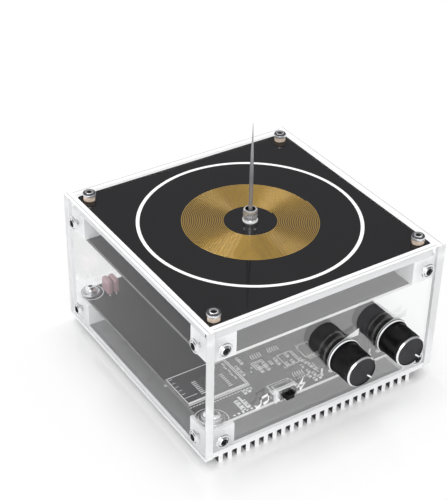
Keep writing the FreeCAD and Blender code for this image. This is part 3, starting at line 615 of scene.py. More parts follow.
def islands(node):
    """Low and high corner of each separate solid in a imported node, in millimetres."""
    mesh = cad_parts[node].data
    owner = list(range(len(mesh.vertices)))

    def root(index):
        while owner[index] != index:
            owner[index] = owner[owner[index]]
            index = owner[index]
        return index

    seen = {}
    for vertex in mesh.vertices:
        key = tuple(round(value / (0.01 * MM)) for value in vertex.co)
        owner[root(vertex.index)] = root(seen.setdefault(key, vertex.index))
    for edge in mesh.edges:
        owner[root(edge.vertices[0])] = root(edge.vertices[1])
    boxes = {}
    for vertex in mesh.vertices:
        low, high = boxes.setdefault(root(vertex.index), (vertex.co.copy(), vertex.co.copy()))
        for axis in range(3):
            low[axis] = min(low[axis], vertex.co[axis])
            high[axis] = max(high[axis], vertex.co[axis])
    return [(low / MM, high / MM) for low, high in sorted(boxes.values(), key=lambda box: tuple(box[0]))]


def corners(node):
    """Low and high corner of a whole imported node, in millimetres."""
    return [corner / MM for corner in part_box(node)]


def middle(box):
    return (box[0] + box[1]) / 2


class DressCase(bpy.types.Operator):
    """Clear sheets, clear corner blocks and the finned heat sink"""

    bl_idname = "transformer.dress_case"
    bl_label = "Dress Case"

    def execute(self, context):
        case = context.scene.case_settings
        sheets = (("clear_side", 0, 0.0, 1.18, 0.0, ("left_panel", "right_panel")),
                  ("clear_front", 1, case.front_haze, 1.49, 1.0, ("front_panel", "back_panel")),
                  ("clear_shelf", 2, 0.02, 1.49, 0.0, ("top_plate",)))
        for name, axis, haze, index, coat, nodes in sheets:
            foot = 1.7 * MM if axis < 2 else 0.0
            finish = clear_acrylic(name, axis, haze, index, coat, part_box(nodes[0])[0].z + foot)
            dress(nodes, finish, case.edge_round / MM, case.sheet_gap / MM)
        blocks = ("lower_corner_blocks", "upper_corner_blocks")
        dress(blocks, clear_block(), case.edge_round / MM, case.sheet_gap / MM)
        dress(("heat_sink",), bright_aluminium(), 0.15)
        return {"FINISHED"}


class DressBoards(bpy.types.Operator):
    """Main board, primary board and their silk outlines, pads and solder"""

    bl_idname = "transformer.dress_boards"
    bl_label = "Dress Boards"

    def execute(self, context):
        mask = context.scene.board_settings.mask
        finish = board_finish("black_board", mask, 0.13, 0.42)
        dress(("main_board", "primary_board", "module_board"), finish, 0.1)
        self.silk()
        self.solder()
        return {"FINISHED"}

    def silk(self):
        """White outlines, ladders, dashes and rings on the main board."""
        board = settings("board_settings")
        top = corners("main_board")[1].z
        lines = Builder()
        half = board.line_width / 2 / MM

        def line(x0, y0, x1, y1, width=half):
            start, end = Vector((x0, y0)), Vector((x1, y1))
            side = (end - start).orthogonal().normalized() * width
            outline = [start - side, end - side, end + side, start + side]
            if (end - start).cross(side) < 0:
                outline.reverse()
            lines.prism(outline, top, top + PRINT)

        def frame_lines(x0, y0, x1, y1):
            for ends in ((x0, y0, x1, y0), (x1, y0, x1, y1), (x1, y1, x0, y1), (x0, y1, x0, y0)):
                line(*ends)

        for box in islands("board_nuts"):
            spot = middle(box)
            lines.ring(spot.x, spot.y, 6.3, 6.6, top, top + PRINT)
        module_low = corners("module_board")[0]
        for dash in range(19):
            x = module_low.x + dash * 1.6
            line(x, module_low.y - 1.2, x + 1.1, module_low.y - 1.2, half * 0.8)
        lines.ring(-61.0, -26.5, 0.45, 0.85, top, top + PRINT, 24)
        frame_lines(-20.4, -37.2, -14.3, -31.9)
        frame_lines(-19.4, -36.2, -15.3, -32.9)
        frame_lines(-6.7, -42.4, 0.4, -33.4)
        line(1.4, -42.4, 1.4, -33.4)
        frame_lines(4.6, -41.6, 12.8, -33.4)
        shell_low, shell_high = corners("switch_shell")
        left, right, back = shell_low.x + 3.0, shell_high.x + 3.6, shell_high.y + 7.2
        line(left, shell_high.y, left, back, half * 1.6)
        line(right, shell_high.y, right, back, half * 1.6)
        line(left, back, right, back, half * 0.7)
        line(-38.6, -48.6, -38.6, -57.4, 0.6)
        line(-42.0, -50.4, -42.0, -57.4)
        line(-40.1, -50.4, -40.1, -57.4)
        for rung in range(6):
            line(-42.0, -50.4 - rung * 1.4, -40.1, -50.4 - rung * 1.4)
        for pad in range(8):
            x = -47.4 + pad * 2.3
            line(x, -58.3, x + 1.3, -58.3, 0.35 + 0.2 * (pad % 3))
        for ends in ((-23.7, -37.6, -23.5, -36.4), (-22.0, -35.2, -21.8, -34.0),
                     (-33.6, -46.9, -30.6, -46.9), (-30.0, -47.4, -30.0, -46.0),
                     (-11.4, -37.8, -11.4, -34.4), (-12.4, -37.8, -12.4, -34.4),
                     (3.4, -53.4, 3.4, -44.6), (4.6, -51.6, 4.6, -46.4), (-3.6, -47.4, -3.6, -43.8)):
            line(*ends)
        for row in range(6):
            x = -8.9 + row * PIN_PITCH
            line(x, -53.0, x, -51.4, 0.26)
        piece("board_silk", lines, ROOT, [ink("board_ink", board.silk)])

    def solder(self):
        """Legs of the flat chips, metal ends of the small parts and solder round the pins."""
        board_low, board_high = corners("main_board")
        under, top = board_low.z, board_high.z
        metal, joints = Builder(), Builder()
        for low, high in islands("driver_chips"):
            self.chip_legs(metal, low, high, top)
        reach = 0.05
        for low, high in islands("chip_resistors"):
            band = (high.y - low.y) * 0.34
            for y0, y1 in ((low.y - reach, low.y + band), (high.y - band, high.y + reach)):
                metal.box((low.x - reach, y0, top), (high.x + reach, y1, high.z + reach))
                metal.box((low.x - 0.15, y0 - 0.3, top), (high.x + 0.15, y1 + 0.3, top + 0.03))
        piece("small_part_solder", metal, ROOT, [tinned()], 0.03)
        for node in ("switch_pins", "module_pins", "transistor_legs", "pot_pins"):
            for low, high in islands(node):
                y = low.y + 0.3 if node == "transistor_legs" else middle((low, high)).y
                spot = Vector((middle((low, high)).x, y, 0))
                joints.lathe(self.cone(-1), 14, Matrix.Translation((spot + Vector((0, 0, under))) * MM))
                if node in ("transistor_legs", "pot_pins"):
                    joints.lathe(self.cone(1), 14, Matrix.Translation((spot + Vector((0, 0, top))) * MM))
        piece("pin_solder", joints, ROOT, [tinned()])

    def cone(self, way):
        """A small cone of solder that climbs a pin, upwards or downwards."""
        profile = [(1.05, 0.0, 0), (1.0, 0.08 * way, 0), (0.72, 0.3 * way, 0), (0.55, 0.62 * way, 0),
                   (0.5, 0.9 * way, 0)]
        return profile[::way]

    def chip_legs(self, builder, low, high, top):
        """Gull-wing legs along the two long sides of a flat chip, each on its pad."""
        count = int((high.x - low.x - 0.4) / PIN_PITCH) + 1
        first = middle((low, high)).x - PIN_PITCH * (count - 1) / 2
        shoulder = top + (high.z - top) * 0.55
        for index in range(count):
            x = first + index * PIN_PITCH
            for face, out in ((low.y, -1), (high.y, 1)):
                for near, far, z0, z1, half in ((0, 0.5, shoulder - 0.1, shoulder + 0.1, 0.24),
                                                (0.4, 0.6, top + 0.05, shoulder + 0.1, 0.24),
                                                (0.5, 1.5, top + 0.05, top + 0.22, 0.24),
                                                (0.3, 2.7, top, top + 0.04, 0.3)):
                    y0, y1 = sorted((face + out * near, face + out * far))
                    builder.box((x - half, y0, z0), (x + half, y1, z1))


class DressModule(bpy.types.Operator):
    """Antenna, pads and small parts of the audio module"""

    bl_idname = "transformer.dress_module"
    bl_label = "Dress Module"

    def execute(self, context):
        board = context.scene.board_settings
        low, high = corners("module_board")
        lines, metal = Builder(), Builder()
        self.outline(lines, low, high, board.line_width / MM)
        self.antenna(lines, low, high)
        piece("module_lines", lines, ROOT, [ink("module_ink", board.silk)])
        self.edge_pads(metal, low, high)
        self.chip_pads(metal, high.z)
        piece("module_metal", metal, ROOT, [tinned()], 0.03)
        dress(("module_chip",), moulded("module_chip_black", (0.030, 0.030, 0.032)), 0.12)
        dress(("module_pins",), moulded("masked_pins", board.mask, 0.5))
        return {"FINISHED"}

    def outline(self, builder, low, high, width):
        """A white frame round the board, with a second bar near its right side."""
        inset, second_bar, top = 0.25, 1.4, high.z
        x0, x1, y0, y1 = low.x + inset, high.x - inset, low.y + inset, high.y - inset
        for near, far in ((y0 - 0.1, y0 + width * 1.8), (y1 - width * 0.7, y1)):
            builder.box((x0, near, top), (x1, far, top + PRINT))
        inner = x1 - second_bar
        for near, far in ((x0, x0 + width * 0.7), (x1 - width, x1), (inner, inner + width * 0.8)):
            builder.box((near, y0 + width, top), (far, y1 - width, top + PRINT))

    def antenna(self, builder, low, high):
        """Short printed fingers at the module's free end, the last of them longer."""
        for index in range(6):
            y = high.y - (1.9 + 2.9 * index)
            reach = 7.5 if index == 5 else 2.9
            builder.box((low.x + 0.9, y, high.z), (low.x + reach, y + 0.28, high.z + PRINT))

    def edge_pads(self, builder, low, high):
        """Pads at the right edge, and a column of small parts beside them."""
        x, z = high.x, high.z
        for index in range(14):
            y = low.y + 1.7 + index * PIN_PITCH
            builder.box((x - 0.9, y - 0.35, z), (x + 0.04, y + 0.35, z + 0.05))
        for index in range(5):
            x = high.x - (3.3 + 0.4 * (index % 2))
            for way in (-1, 1):
                y = high.y - (3.2 + 2.7 * index) + way * 0.62
                builder.box((x - 0.4, y - 0.3, z), (x + 0.4, y + 0.3, z + 0.45))

    def chip_pads(self, builder, top):
        """Flat legs at both sides of the module's chip."""
        low, high = corners("module_chip")
        for index in range(8):
            y = middle((low, high)).y + (index - 3.5) * PIN_PITCH
            for face, out in ((low.x, -1), (high.x, 1)):
                x0, x1 = sorted((face, face + out * 2.2))
                builder.box((x0, y - 0.27, top), (x1, y + 0.27, top + 0.2))


class DressCoil(bpy.types.Operator):
    """Coil board with its fine winding and the white ring round it"""

    bl_idname = "transformer.dress_coil"
    bl_label = "Dress Coil"

    def execute(self, context):
        coil = context.scene.coil_settings
        dress(("coil_board",), board_finish("coil_mask", coil.mask, 0.36, 0.03), 0.1)
        low, high = corners("secondary_winding")
        top = corners("coil_board")[1].z
        gold = gold_plate()
        winding, ring = Builder(), Builder()
        self.wind(winding, coil, top, 12.2, high.x, high.z - low.z)
        item = piece("fine_winding", winding, ROOT, [gold], 0.0, 60)
        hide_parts("secondary_winding")
        dress(("primary_winding",), gold)
        radius, half = coil.ring_radius / MM, coil.ring_width / 2 / MM
        ring.ring(0, 0, radius - half, radius + half, top, top + 0.04, 192)
        piece("coil_ring", ring, ROOT, [ink("ring_ink", coil.ink)], 0.01)
        return {"FINISHED"}

    def wind(self, builder, coil, top, inner, outer, height):
        """A steady spiral whose trace has a low crown, as plated copper does."""
        pitch = (outer - inner) / (coil.turns + coil.trace_share)
        width = pitch * coil.trace_share
        steps_per_turn = 128
        total = coil.turns * steps_per_turn
        crown_shares = ((-0.5, 0.0), (-0.42, 0.5), (-0.3, 0.78), (-0.15, 0.95), (0.0, 1.0),
                        (0.15, 0.95), (0.3, 0.78), (0.42, 0.5), (0.5, 0.0))
        points = []
        for step in range(total + 1):
            turn = step / steps_per_turn
            angle = 2 * math.pi * turn
            radius = inner + width / 2 + pitch * turn
            for across, rise in crown_shares:
                reach = radius + across * width
                points.append((reach * math.cos(angle), reach * math.sin(angle), top + rise * height))
        row = len(crown_shares)
        faces = []
        for step in range(total):
            for band in range(row - 1):
                a = step * row + band
                faces.append((a, a + 1, a + row + 1, a + row))
            faces.append((step * row + row - 1, step * row, (step + 1) * row, (step + 1) * row + row - 1))
        faces.append(tuple(reversed(range(row))))
        faces.append(tuple(range(total * row, total * row + row)))
        builder.add(points, faces, 0, True)


class DressNeedle(bpy.types.Operator):
    """Steel needle and its knurled socket"""

    bl_idname = "transformer.dress_needle"
    bl_label = "Dress Needle"

    def execute(self, context):
        dress(("needle",), needle_steel())
        dress(("needle_set_screw",), plated("set_screw_steel", (0.1, 0.1, 0.105), 0.2), 0.05)
        low, high = corners("needle_socket")
        top = corners("coil_board")[1].z
        reach = (high.x - low.x) / 2
        body = reach - 0.4
        height = high.z - top
        knurl_low, spacing = 1.9 * MM, 0.3 * MM
        levels = []
        level = knurl_low + 0.15 * MM
        while level < (height - 1.0) * MM:
            levels.append(level)
            level += spacing
        teeth = {level / MM: round((level - knurl_low) / spacing) for level in levels}

        def knurl(radius, level, step):
            if radius < body - 0.01 or level not in teeth:
                return 0.0
            return 0.20 if (step + teeth[level]) % 2 else -0.16

        profile = [(1.5, low.z - top, 0), (1.5, 0, 2), (reach - 0.15, 0, 2), (reach, 0.15, 2),
                   (reach, 0.95, 2), (reach - 0.25, 1.2, 0), (body - 0.35, 1.25, 0), (body - 0.35, 1.6, 0),
                   (body, 1.85, 0)]
        profile += [(body, level, 0) for level in teeth]
        profile += [(body, height - 0.95, 0), (body, height - 0.3, 0), (body - 0.3, height, 0),
                    (2.5, height, 1), (2.4, height - 1.4, 1), (1.05, height - 1.4, 1),
                    (1.05, height - 6.3, 1)]
        made = Builder()
        made.lathe(profile, 72, Matrix.Translation((0, 0, top * MM)), knurl, False)
        # Painted shade: the cup and bore at the top are coloured near black. Painted reflection: the chrome
        # flange is coloured plain white.
        item = piece("knurled_socket", made, ROOT,
                     [plated("socket_chrome", (0.95, 0.95, 0.97), 0.1, 0.3, metal=0.75),
                      plated("socket_bore_painted_shade", (0.05, 0.05, 0.05), 0.4),
                      plated("flange_painted_reflection", (1.0, 1.0, 1.0), 0.12, 0.15, metal=0.15)], 0.0, 30)
        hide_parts("needle_socket")
        return {"FINISHED"}


class DressFasteners(bpy.types.Operator):
    """Screws, nuts and washers"""

    bl_idname = "transformer.dress_fasteners"
    bl_label = "Dress Fasteners"

    def execute(self, context):
        chrome = (0.86, 0.86, 0.88)
        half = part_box("right_panel")[1].x - 0.1 * MM
        under_head = (islands("board_screws")[0][1].z - 1.7) * MM
        side = plated("side_chrome", chrome, 0.08, 0.2, 0, half)
        dress(("left_panel_screws", "right_panel_screws"), side, 0.12)
        end = plated("end_chrome", chrome, 0.08, 0.2, 1, half)
        dress(("front_panel_screws", "back_panel_screws"), end, 0.12)
        board = plated("board_chrome", chrome, 0.1, 0.2, 2, under_head)
        dress(("board_screws", "primary_board_screws", "transistor_screws"), board, 0.12)
        dress(("base_screws",), plated("base_steel", (0.5, 0.5, 0.52), 0.22), 0.08)
        dress(("top_screws",), head_chrome(), 0.12)
        dress(("top_nuts",), plated("brass", (1.0, 0.80, 0.64), 0.16, 0.2, metal=0.25), 0.1)
        dress(("board_nuts",), plated("nut_chrome", (0.58, 0.58, 0.60), 0.16, 0.3), 0.1)
        self.sockets()
        nickel = plated("nickel", (0.62, 0.61, 0.58), 0.2)
        dress(("pot_washers", "pot_nuts", "audio_jack_nut"), nickel, 0.1)
        return {"FINISHED"}

    def sockets(self):
        """Black hexagons deep in the screw heads, painted shade in their recesses, with black lips round
        some: node, axis, outward side, key and depth of the recess.
        """
        made, flanges = Builder(), Builder()
        heads = (("front_panel_screws", 1, -1, 2.0, 1.0), ("back_panel_screws", 1, 1, 2.0, 1.0),
                 ("left_panel_screws", 0, -1, 2.0, 1.0), ("right_panel_screws", 0, 1, 2.0, 1.0),
                 ("top_screws", 2, 1, 2.5, 1.2), ("board_screws", 2, 1, 2.0, 1.0))
        turns = {(2, 1): (0, "X"), (1, -1): (90, "X"), (1, 1): (-90, "X"),
                 (0, 1): (90, "Y"), (0, -1): (-90, "Y")}
        sixths = [step * math.pi / 3 for step in range(6)]
        for node, axis, side, across, depth in heads:
            angle, about = turns[axis, side]
            turn = Matrix.Rotation(math.radians(angle), 4, about)
            corner = across / math.sqrt(3) * 0.985
            outline = [(corner * math.cos(sixth), corner * math.sin(sixth)) for sixth in sixths]
            for box in islands(node):
                spot = middle(box)
                spot[axis] = box[side > 0][axis]
                place = Matrix.Translation(spot * MM) @ turn
                # Painted shade: a black hexagon sits in each recess below the head's face.
                made.prism(outline, -depth, -0.4, 0, place)
                if node == "top_screws":
                    crown = ((1.48, -0.3), (2.2, -0.4), (2.2, -0.08), (1.85, 0.06), (1.48, 0.04))
                    self.collar(flanges, place, crown)
                if axis != 2:
                    # Painted shade: a black lip round the recess of each screw in the side and end sheets.
                    shade_lip = ((1.12, -0.3), (1.8, -0.6), (1.8, -0.34), (1.45, -0.14), (1.12, -0.01))
                    self.collar(made, place, shade_lip)
                    foot = ((2.8, -1.48), (3.7, -1.48), (3.75, -1.3), (3.5, -1.0), (2.8, -0.9))
                    self.collar(flanges, place, foot)
        # Matt black for the painted shade in the recesses.
        black = moulded("painted_recess_black", (0.008, 0.008, 0.008), 0.6, 2200.0, 0.0, 0.1)
        bright = plated("flange_chrome", (0.86, 0.86, 0.87), 0.2, 0.2)
        piece("painted_socket_shade", made, ROOT, [black])
        piece("screw_flanges", flanges, ROOT, [bright])

    def collar(self, builder, place, outline):
        """Turns a closed outline of (radius, height) points."""
        builder.lathe([(*point, 0) for point in outline], 36, place, None, True, True)


class DressKnobs(bpy.types.Operator):
    """Fluted knobs with a bright bevel, a turned face and a white pointer"""

    bl_idname = "transformer.dress_knobs"
    bl_label = "Dress Knobs"

    def execute(self, context):
        knob = context.scene.knob_settings
        body = moulded("knob_black", knob.body, 0.12, 900.0, 0.1, 0.18)
        white = ink("pointer_white", (0.96, 0.96, 0.96))
        for side in SIDES:
            low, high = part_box(side + "_knob_shell")
            centre = Vector(((low.x + high.x) / 2, high.y, (low.z + high.z) / 2))
            skirt = tin_plate(side + "_skirt")
            bright = plated(side + "_rim", (0.92, 0.92, 0.93), 0.14, 0.2, metal=0.8)
            face = turned_metal(side + "_face", knob.face, 0.32, 0.75, 0.42 * MM, centre)
            place = Matrix.Translation(centre) @ Matrix.Rotation(math.radians(90), 4, "X")
            made = Builder()
            self.shell(made, knob, place, (high.x - low.x) / 2 / MM, (high.y - low.y) / MM)
            item = piece(side + "_fluted_knob", made, side + "_knob",
                         [body, skirt, face, white, bright], 0.0, 30)
            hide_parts(side + "_knob_shell")
        metal = plated("shaft_steel", (0.62, 0.62, 0.64), 0.2)
        core = moulded("core_black", (0.02, 0.02, 0.02))
        for side in SIDES:
            dress((side + "_pot_shaft",), metal, 0.1)
            dress((side + "_knob_core",), core, 0.1)
            dress((side + "_pot_case",), moulded(side + "_pot_black", (0.008, 0.008, 0.008), 0.3), 0.25)
        dress(("pot_tracks",), moulded("phenolic", (0.012, 0.011, 0.010), 0.4), 0.08)
        dress(("pot_pins",), tinned())
        return {"FINISHED"}

    def shell(self, builder, knob, place, skirt, length):
        """Skirt, fluted body, bevel, hollow face with fine rings, bore and pointer."""
        radius = skirt - 1.0
        groove = length - 2.0
        rim = radius - 0.75
        face = rim - 0.3
        floor = length - 0.25
        dish, bore = 0.12, 6.7

        def flute(ring_radius, height, step):
            if abs(ring_radius - radius) > 0.01 or not 1.8 < height < groove + 0.1:
                return 0.0
            return -knob.flute_depth / MM * (0.5 - 0.5 * math.cos(step * math.pi / 2))

        profile = [(bore, 0, 0), (skirt - 0.15, 0, 1), (skirt, 0.15, 1), (skirt, 0.4, 0),
                   (skirt - 0.3, 0.45, 0), (skirt - 0.3, 0.75, 1), (skirt - 0.1, 0.9, 1),
                   (skirt - 0.5, 1.5, 0), (radius - 0.12, 1.52, 0), (radius - 0.12, 1.85, 0),
                   (radius, 2.0, 0), (radius, 4.0, 0), (radius, 8.0, 0), (radius, groove, 0),
                   (radius - 0.35, groove + 0.25, 0), (radius - 0.35, groove + 0.55, 0),
                   (radius - 0.1, groove + 0.75, 0), (radius - 0.1, length - 0.7, 4), (rim, length, 0),
                   (rim - 0.15, length, 0), (face, floor, 2)]
        rings = 36
        for index in range(1, rings):
            share = 1 - index / rings
            dip = 0.03 * (index % 2)
            profile.append((face * share, floor - dish * (1 - share * share) - dip, 2))
        profile.append((0.05, floor - dish, 2))
        builder.lathe(profile, knob.flutes * 4, place, flute)
        builder.lathe([(0.05, length - 1.6, 0), (bore, length - 1.6, 0), (bore, 0, 0)], 64, place)
        turn = place @ Matrix.Rotation(math.radians(90) - knob.pointer_angle, 4, "Z")
        half = 0.33
        builder.box((4.4, -half, floor - 0.1), (rim - 0.1, half, length), 3, turn)
        builder.box((rim - 0.1, -half, length - 0.9), (radius - 0.06, half, length - 0.1), 3, turn)


class DressSwitch(bpy.types.Operator):
    """Slide switch with a folded steel shell"""

    bl_idname = "transformer.dress_switch"
    bl_label = "Dress Switch"

    def execute(self, context):
        dress(("switch_shell",), switch_steel(), 0.18)
        lever = moulded("lever_black", (0.004, 0.004, 0.004), 0.4, 2200.0, 0.0, 0.15)
        dress(("switch_lever",), lever, 0.12)
        dress(("switch_base",), moulded("switch_base_brown", (0.16, 0.085, 0.04), 0.4), 0.1)
        dress(("switch_pins",), tinned())
        low, high = corners("switch_shell")
        self.tabs(low, high)
        self.slot(low, high)
        return {"FINISHED"}

    def tabs(self, low, high):
        """Four feet, the ears at the ends, and bright strips along the edges of the shell's roof as painted
        highlights.
        """
        made = Builder()
        for x, out in ((low.x, -1), (high.x, 1)):
            for y in (low.y + 0.9, high.y - 0.9):
                made.box((x - 0.2, y - 0.5, low.z), (x + 0.2, y + 0.5, low.z + 0.9))
            x0, x1 = sorted((x, x + out * 1.5))
            made.box((x0, low.y + 0.5, high.z - 1.6), (x1, high.y - 1.0, high.z - 1.2))
        # Painted highlights: bright strips along the roof's side and back edges.
        under, rise = high.z - 0.05, high.z + 0.04
        for x in (low.x + 0.1, high.x - 0.5):
            made.box((x, low.y + 0.4, under), (x + 0.4, high.y - 0.1, rise))
        made.box((low.x + 0.1, high.y - 0.35, under), (high.x - 0.1, high.y - 0.15, rise))
        piece("switch_tabs", made, ROOT, [tin_plate("tab_steel")], 0.08)

    def slot(self, low, high):
        """Black strips across the front of the shell's roof, painted shadow lines."""
        dark = Builder()
        # Painted shadow: two black lines across the front of the roof.
        for y, inset in ((low.y + 0.75, 0.9), (low.y + 1.75, 0.3)):
            dark.box((low.x + inset, y, high.z), (high.x - inset, y + 0.16, high.z + 0.03))
        piece("switch_painted_shadow_lines", dark, ROOT, [moulded("painted_shadow_black", (0.01, 0.01, 0.01), 0.6)])


class DressPrint(bpy.types.Operator):
    """White marks on the front panel: a level wedge over each knob, a note and a bolt"""

    bl_idname = "transformer.dress_print"
    bl_label = "Dress Print"

    def execute(self, context):
        made = Builder()
        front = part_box("front_panel")[0].y
        upright = Matrix.Translation((0, front, 0)) @ Matrix.Rotation(math.radians(90), 4, "X")
        height = context.scene.case_settings.print_height / MM
        middles = [middle(corners(side + "_knob_shell")).x for side in SIDES]
        marks = [[(x - 3.3, 42.2), (x + 8.9, 42.4), (x + 9.0, 46.4)] for x in middles]
        heads = [self.note_head(x, z) for x, z in ((-37.3, 24.0), (-33.3, 24.8))]
        marks += [[(-36.2, 24.3), (-35.6, 24.3), (-35.6, 29.0), (-36.2, 29.0)],
                  [(-32.2, 25.1), (-31.6, 25.1), (-31.6, 29.8), (-32.2, 29.8)],
                  [(-36.2, 27.6), (-31.6, 28.4), (-31.6, 29.9), (-36.2, 29.1)],
                  [(-14.4, 22.4), (-11.4, 27.2), (-13.6, 26.6), (-14.9, 27.0)],
                  [(-16.6, 25.7), (-13.4, 26.0), (-11.6, 27.4), (-13.4, 27.6), (-12.6, 31.2)]]
        for outlines, thick in ((marks[:2], height), (heads, height * 1.1), (marks[2:], height)):
            for outline in outlines:
                made.prism(outline, 0.0, thick, 0, upright)
        panel_ink = ink("panel_ink", context.scene.coil_settings.ink)
        piece("front_print", made, ROOT, [panel_ink])
        return {"FINISHED"}

    def note_head(self, x, z):
        """A tilted oval round the point x, z."""
        steps, tilt = 20, math.radians(20)
        points = []
        for step in range(steps):
            angle = 2 * math.pi * step / steps
            along, across = 1.35 * math.cos(angle), 0.9 * math.sin(angle)
            points.append((x + along * math.cos(tilt) - across * math.sin(tilt),
                           z + along * math.sin(tilt) + across * math.cos(tilt)))
        return points


class DressParts(bpy.types.Operator):
    """Capacitors, inductor, chips, transistors, jacks and leads inside the case"""

    bl_idname = "transformer.dress_parts"
    bl_label = "Dress Parts"

    def execute(self, context):
        black = moulded("black_plastic", (0.014, 0.014, 0.015))
        dress(("driver_chips", "power_transistors"), black, 0.1)
        dress(("power_jack", "audio_jack"), moulded("jack_black", (0.011, 0.011, 0.012), 0.35), 0.25)
        dress(("chip_resistors",), glazed(), 0.05)
        dress(("film_capacitors",), moulded("red_epoxy", (0.36, 0.22, 0.24), 0.14, 500.0, 0.3, 0.5))
        dress(("electrolytic_capacitors",), can_sleeve())
        dress(("power_inductor",), moulded("ferrite", (0.045, 0.045, 0.05), 0.55, 1500.0), 0.2)
        dress(("transistor_pads",), moulded("silicone_pad", (0.28, 0.31, 0.34), 0.7))
        dress(("film_capacitor_legs", "transistor_legs", "power_jack_pin"), tinned())
        dress(("internal_leads",), moulded("lead_white", (0.62, 0.62, 0.63), 0.38, 600.0))
        self.can_vents()
        self.inductor_window()
        self.transistor_tabs()
        return {"FINISHED"}

    def can_vents(self):
        """The cross scored into each can's top."""
        scores = Builder()
        for low, high in islands("electrolytic_capacitors"):
            spot = middle((low, high))
            spot.z = high.z
            for quarter in (1, 3):
                place = Matrix.Translation(spot * MM) @ Matrix.Rotation(quarter * math.pi / 4, 4, "Z")
                scores.box((-3.6, -0.15, 0), (3.6, 0.15, 0.04), 0, place)
        piece("can_scores", scores, ROOT, [plated("score_grey", (0.3, 0.3, 0.31), 0.4)])

    def inductor_window(self):
        """Copper turns in the top of the inductor."""
        low, high = corners("power_inductor")
        spot = middle((low, high))
        turns = Builder()
        for index in range(9):
            inner = 2.0 + index * 0.35
            turns.ring(spot.x, spot.y, inner, inner + 0.26, high.z, high.z + 0.03, 48)
        piece("inductor_turns", turns, ROOT, [plated("copper", (0.72, 0.36, 0.2), 0.25)])

    def transistor_tabs(self):
        """The round mould mark on each transistor."""
        marks = Builder()
        for low, high in islands("power_transistors"):
            x = middle((low, high)).x
            marks.ring(x, high.y - 5.6, 3.4, 3.6, high.z, high.z + 0.03, 48)
        piece("transistor_rings", marks, ROOT, [moulded("ring_mark", (0.03, 0.03, 0.03))])


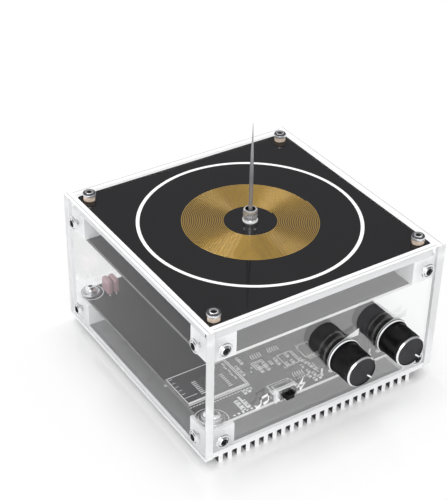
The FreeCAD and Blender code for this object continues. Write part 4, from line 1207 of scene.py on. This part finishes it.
class SetStage(bpy.types.Operator):
    """Pale floor, soft lamps and the camera"""

    bl_idname = "transformer.set_stage"
    bl_label = "Set Stage"

    camera_place = Vector((-0.2958, -0.4265, 0.4126))
    azimuth = math.radians(-33.39)
    elevation = math.radians(34.39)
    roll = math.radians(1.12)
    focal_pixels = 1311.3
    frame_height_pixels = 500

    def execute(self, context):
        self.floor()
        self.sky(context)
        stage = context.scene.stage_settings
        self.lamp("key_lamp", (0.68, 0.20, 1.05), 0.36, stage.key_power)
        self.lamp("back_lamp", (0.0, 0.55, 1.15), 0.36, stage.back_power)
        self.lamp("front_lamp", (-0.58, -0.86, 0.54), 0.7, stage.front_power)
        self.camera(context)
        context.scene.view_settings.view_transform = "Standard"
        return {"FINISHED"}

    def floor(self):
        shade = settings("stage_settings").floor
        made = Builder()
        half = 6000.0
        made.add([(-half, -half, 0), (half, -half, 0), (half, half, 0), (-half, half, 0)], [(0, 1, 2, 3)])
        item = bpy.data.objects.new("floor", made.mesh("floor"))
        bpy.context.scene.collection.objects.link(item)
        r = Recipe("pale_floor")
        grain = r.noise(40.0, 2.0)
        base = r.mixed(grain, rgba(shade), rgba(shade, 0.985))
        lit = r.principled(base, 0.12, 0.0, None, Specular_IOR_Level=1.0)
        white = r.add("ShaderNodeEmission", 0, None, {"Color": WHITE, "Strength": 1.0})
        case_half, fade = 66.0 * MM, 26.0 * MM
        x, y, _ = r.parts(r.place())
        reach = abs(x).highest(abs(y))
        outside = ((reach - case_half) * (1.0 / fade)).highest(0.0).lowest(1.0)
        share = seen_by(r) * outside * settings("stage_settings").floor_white
        item.data.materials.append(r.finished(r.shaders(share, lit, white)))

    def sky(self, context):
        """White to the camera, and through glass. Metal sees it bright low down and darker overhead."""
        world = bpy.data.worlds.new("studio")
        context.scene.world = world
        world.use_nodes = True
        r = Recipe("studio", world.node_tree)
        rise = r.parts(r.add("ShaderNodeTexCoord", "Generated"))[2]
        seen = r.ramp(rise, [(0.0, WHITE), (0.15, (0.9, 0.9, 0.91, 1)), (0.38, (0.32, 0.32, 0.33, 1)),
                             (0.75, (0.22, 0.22, 0.23, 1)), (1.0, (0.35, 0.35, 0.36, 1))])
        lit = r.add("ShaderNodeBackground", 0, None,
                    {"Color": WHITE, "Strength": context.scene.stage_settings.sky})
        seen = r.mixed(self.patch(r, (0.99, -0.07, 0.05), 3.0), seen, (0.12, 0.12, 0.125, 1))
        for toward, tightness in (((0.275, 0.4175, 0.866), 14.0), ((-0.54, -0.70, 0.425), 8.0)):
            seen = r.mixed(self.patch(r, toward, tightness), seen, WHITE)
        glossy = r.add("ShaderNodeBackground", 0, None, {"Color": seen, "Strength": 1.0})
        white = r.add("ShaderNodeBackground", 0, None, {"Color": WHITE, "Strength": 1.0})
        seen = r.shaders(r.ray("Glossy"), lit, glossy)
        for kind in ("Transmission", "Camera"):
            seen = r.shaders(r.ray(kind), seen, white)
        r.add("ShaderNodeOutputWorld", 0, None, {"Surface": seen})

    def patch(self, r, toward, tightness):
        """A soft patch of sky, which only shiny things show."""
        x, y, z = r.parts(r.add("ShaderNodeTexCoord", "Generated"))
        facing = x * toward[0] + y * toward[1] + z * toward[2]
        return facing.highest(0.0).power(tightness)

    def lamp(self, name, place, size, power):
        data = bpy.data.lights.new(name, "AREA")
        data.shape = "DISK"
        data.size = size
        data.energy = power
        item = bpy.data.objects.new(name, data)
        item.location = place
        aim = Vector((0, 0, 0.04)) - Vector(place)
        item.rotation_mode = "QUATERNION"
        item.rotation_quaternion = aim.to_track_quat("-Z", "Y")
        bpy.context.scene.collection.objects.link(item)

    def camera(self, context):
        az, el = self.azimuth, self.elevation
        right = Vector((math.cos(az), math.sin(az), 0))
        back = Vector((math.sin(az) * math.cos(el), -math.cos(az) * math.cos(el), math.sin(el)))
        up = back.cross(right)
        c, s = math.cos(self.roll), math.sin(self.roll)
        columns = Matrix((c * right + s * up, -s * right + c * up, back)).transposed()
        data = bpy.data.cameras.new("camera")
        data.sensor_width = 36.0
        data.lens = self.focal_pixels * data.sensor_width / self.frame_height_pixels
        data.clip_start = 0.01
        data.clip_end = 20.0
        item = bpy.data.objects.new("camera", data)
        item.matrix_world = Matrix.Translation(self.camera_place) @ columns.to_4x4()
        context.scene.collection.objects.link(item)
        context.scene.camera = item


OPERATORS = (SetStage, DressCase, DressBoards, DressModule, DressCoil, DressNeedle, DressFasteners,
             DressKnobs, DressSwitch, DressPrint, DressParts)
SETTINGS = {"case_settings": CaseSettings, "coil_settings": CoilSettings, "knob_settings": KnobSettings,
            "board_settings": BoardSettings, "stage_settings": StageSettings}


class TransformerPanel(bpy.types.Panel):
    """Lists the pieces, in the order in which they are made"""

    bl_idname = "VIEW3D_PT_transformer"
    bl_label = "Desktop Transformer"
    bl_space_type = "VIEW_3D"
    bl_region_type = "UI"
    bl_category = "Transformer"

    def draw(self, context):
        for operator in OPERATORS:
            self.layout.operator(operator.bl_idname)
        for name in SETTINGS:
            box = self.layout.box()
            group = getattr(context.scene, name)
            for prop in group.bl_rna.properties:
                if prop.identifier not in ("rna_type", "name"):
                    box.prop(group, prop.identifier)


def register():
    for group in SETTINGS.values():
        bpy.utils.register_class(group)
    for name, group in SETTINGS.items():
        setattr(bpy.types.Scene, name, PointerProperty(type=group))
    for operator in OPERATORS:
        bpy.utils.register_class(operator)
    bpy.utils.register_class(TransformerPanel)


def unregister():
    bpy.utils.unregister_class(TransformerPanel)
    for operator in reversed(OPERATORS):
        bpy.utils.unregister_class(operator)
    for name, group in SETTINGS.items():
        delattr(bpy.types.Scene, name)
        bpy.utils.unregister_class(group)


def main():
    register()
    for operator in OPERATORS:
        group, name = operator.bl_idname.split(".")
        getattr(getattr(bpy.ops, group), name)()


if __name__ == "__main__":
    main()
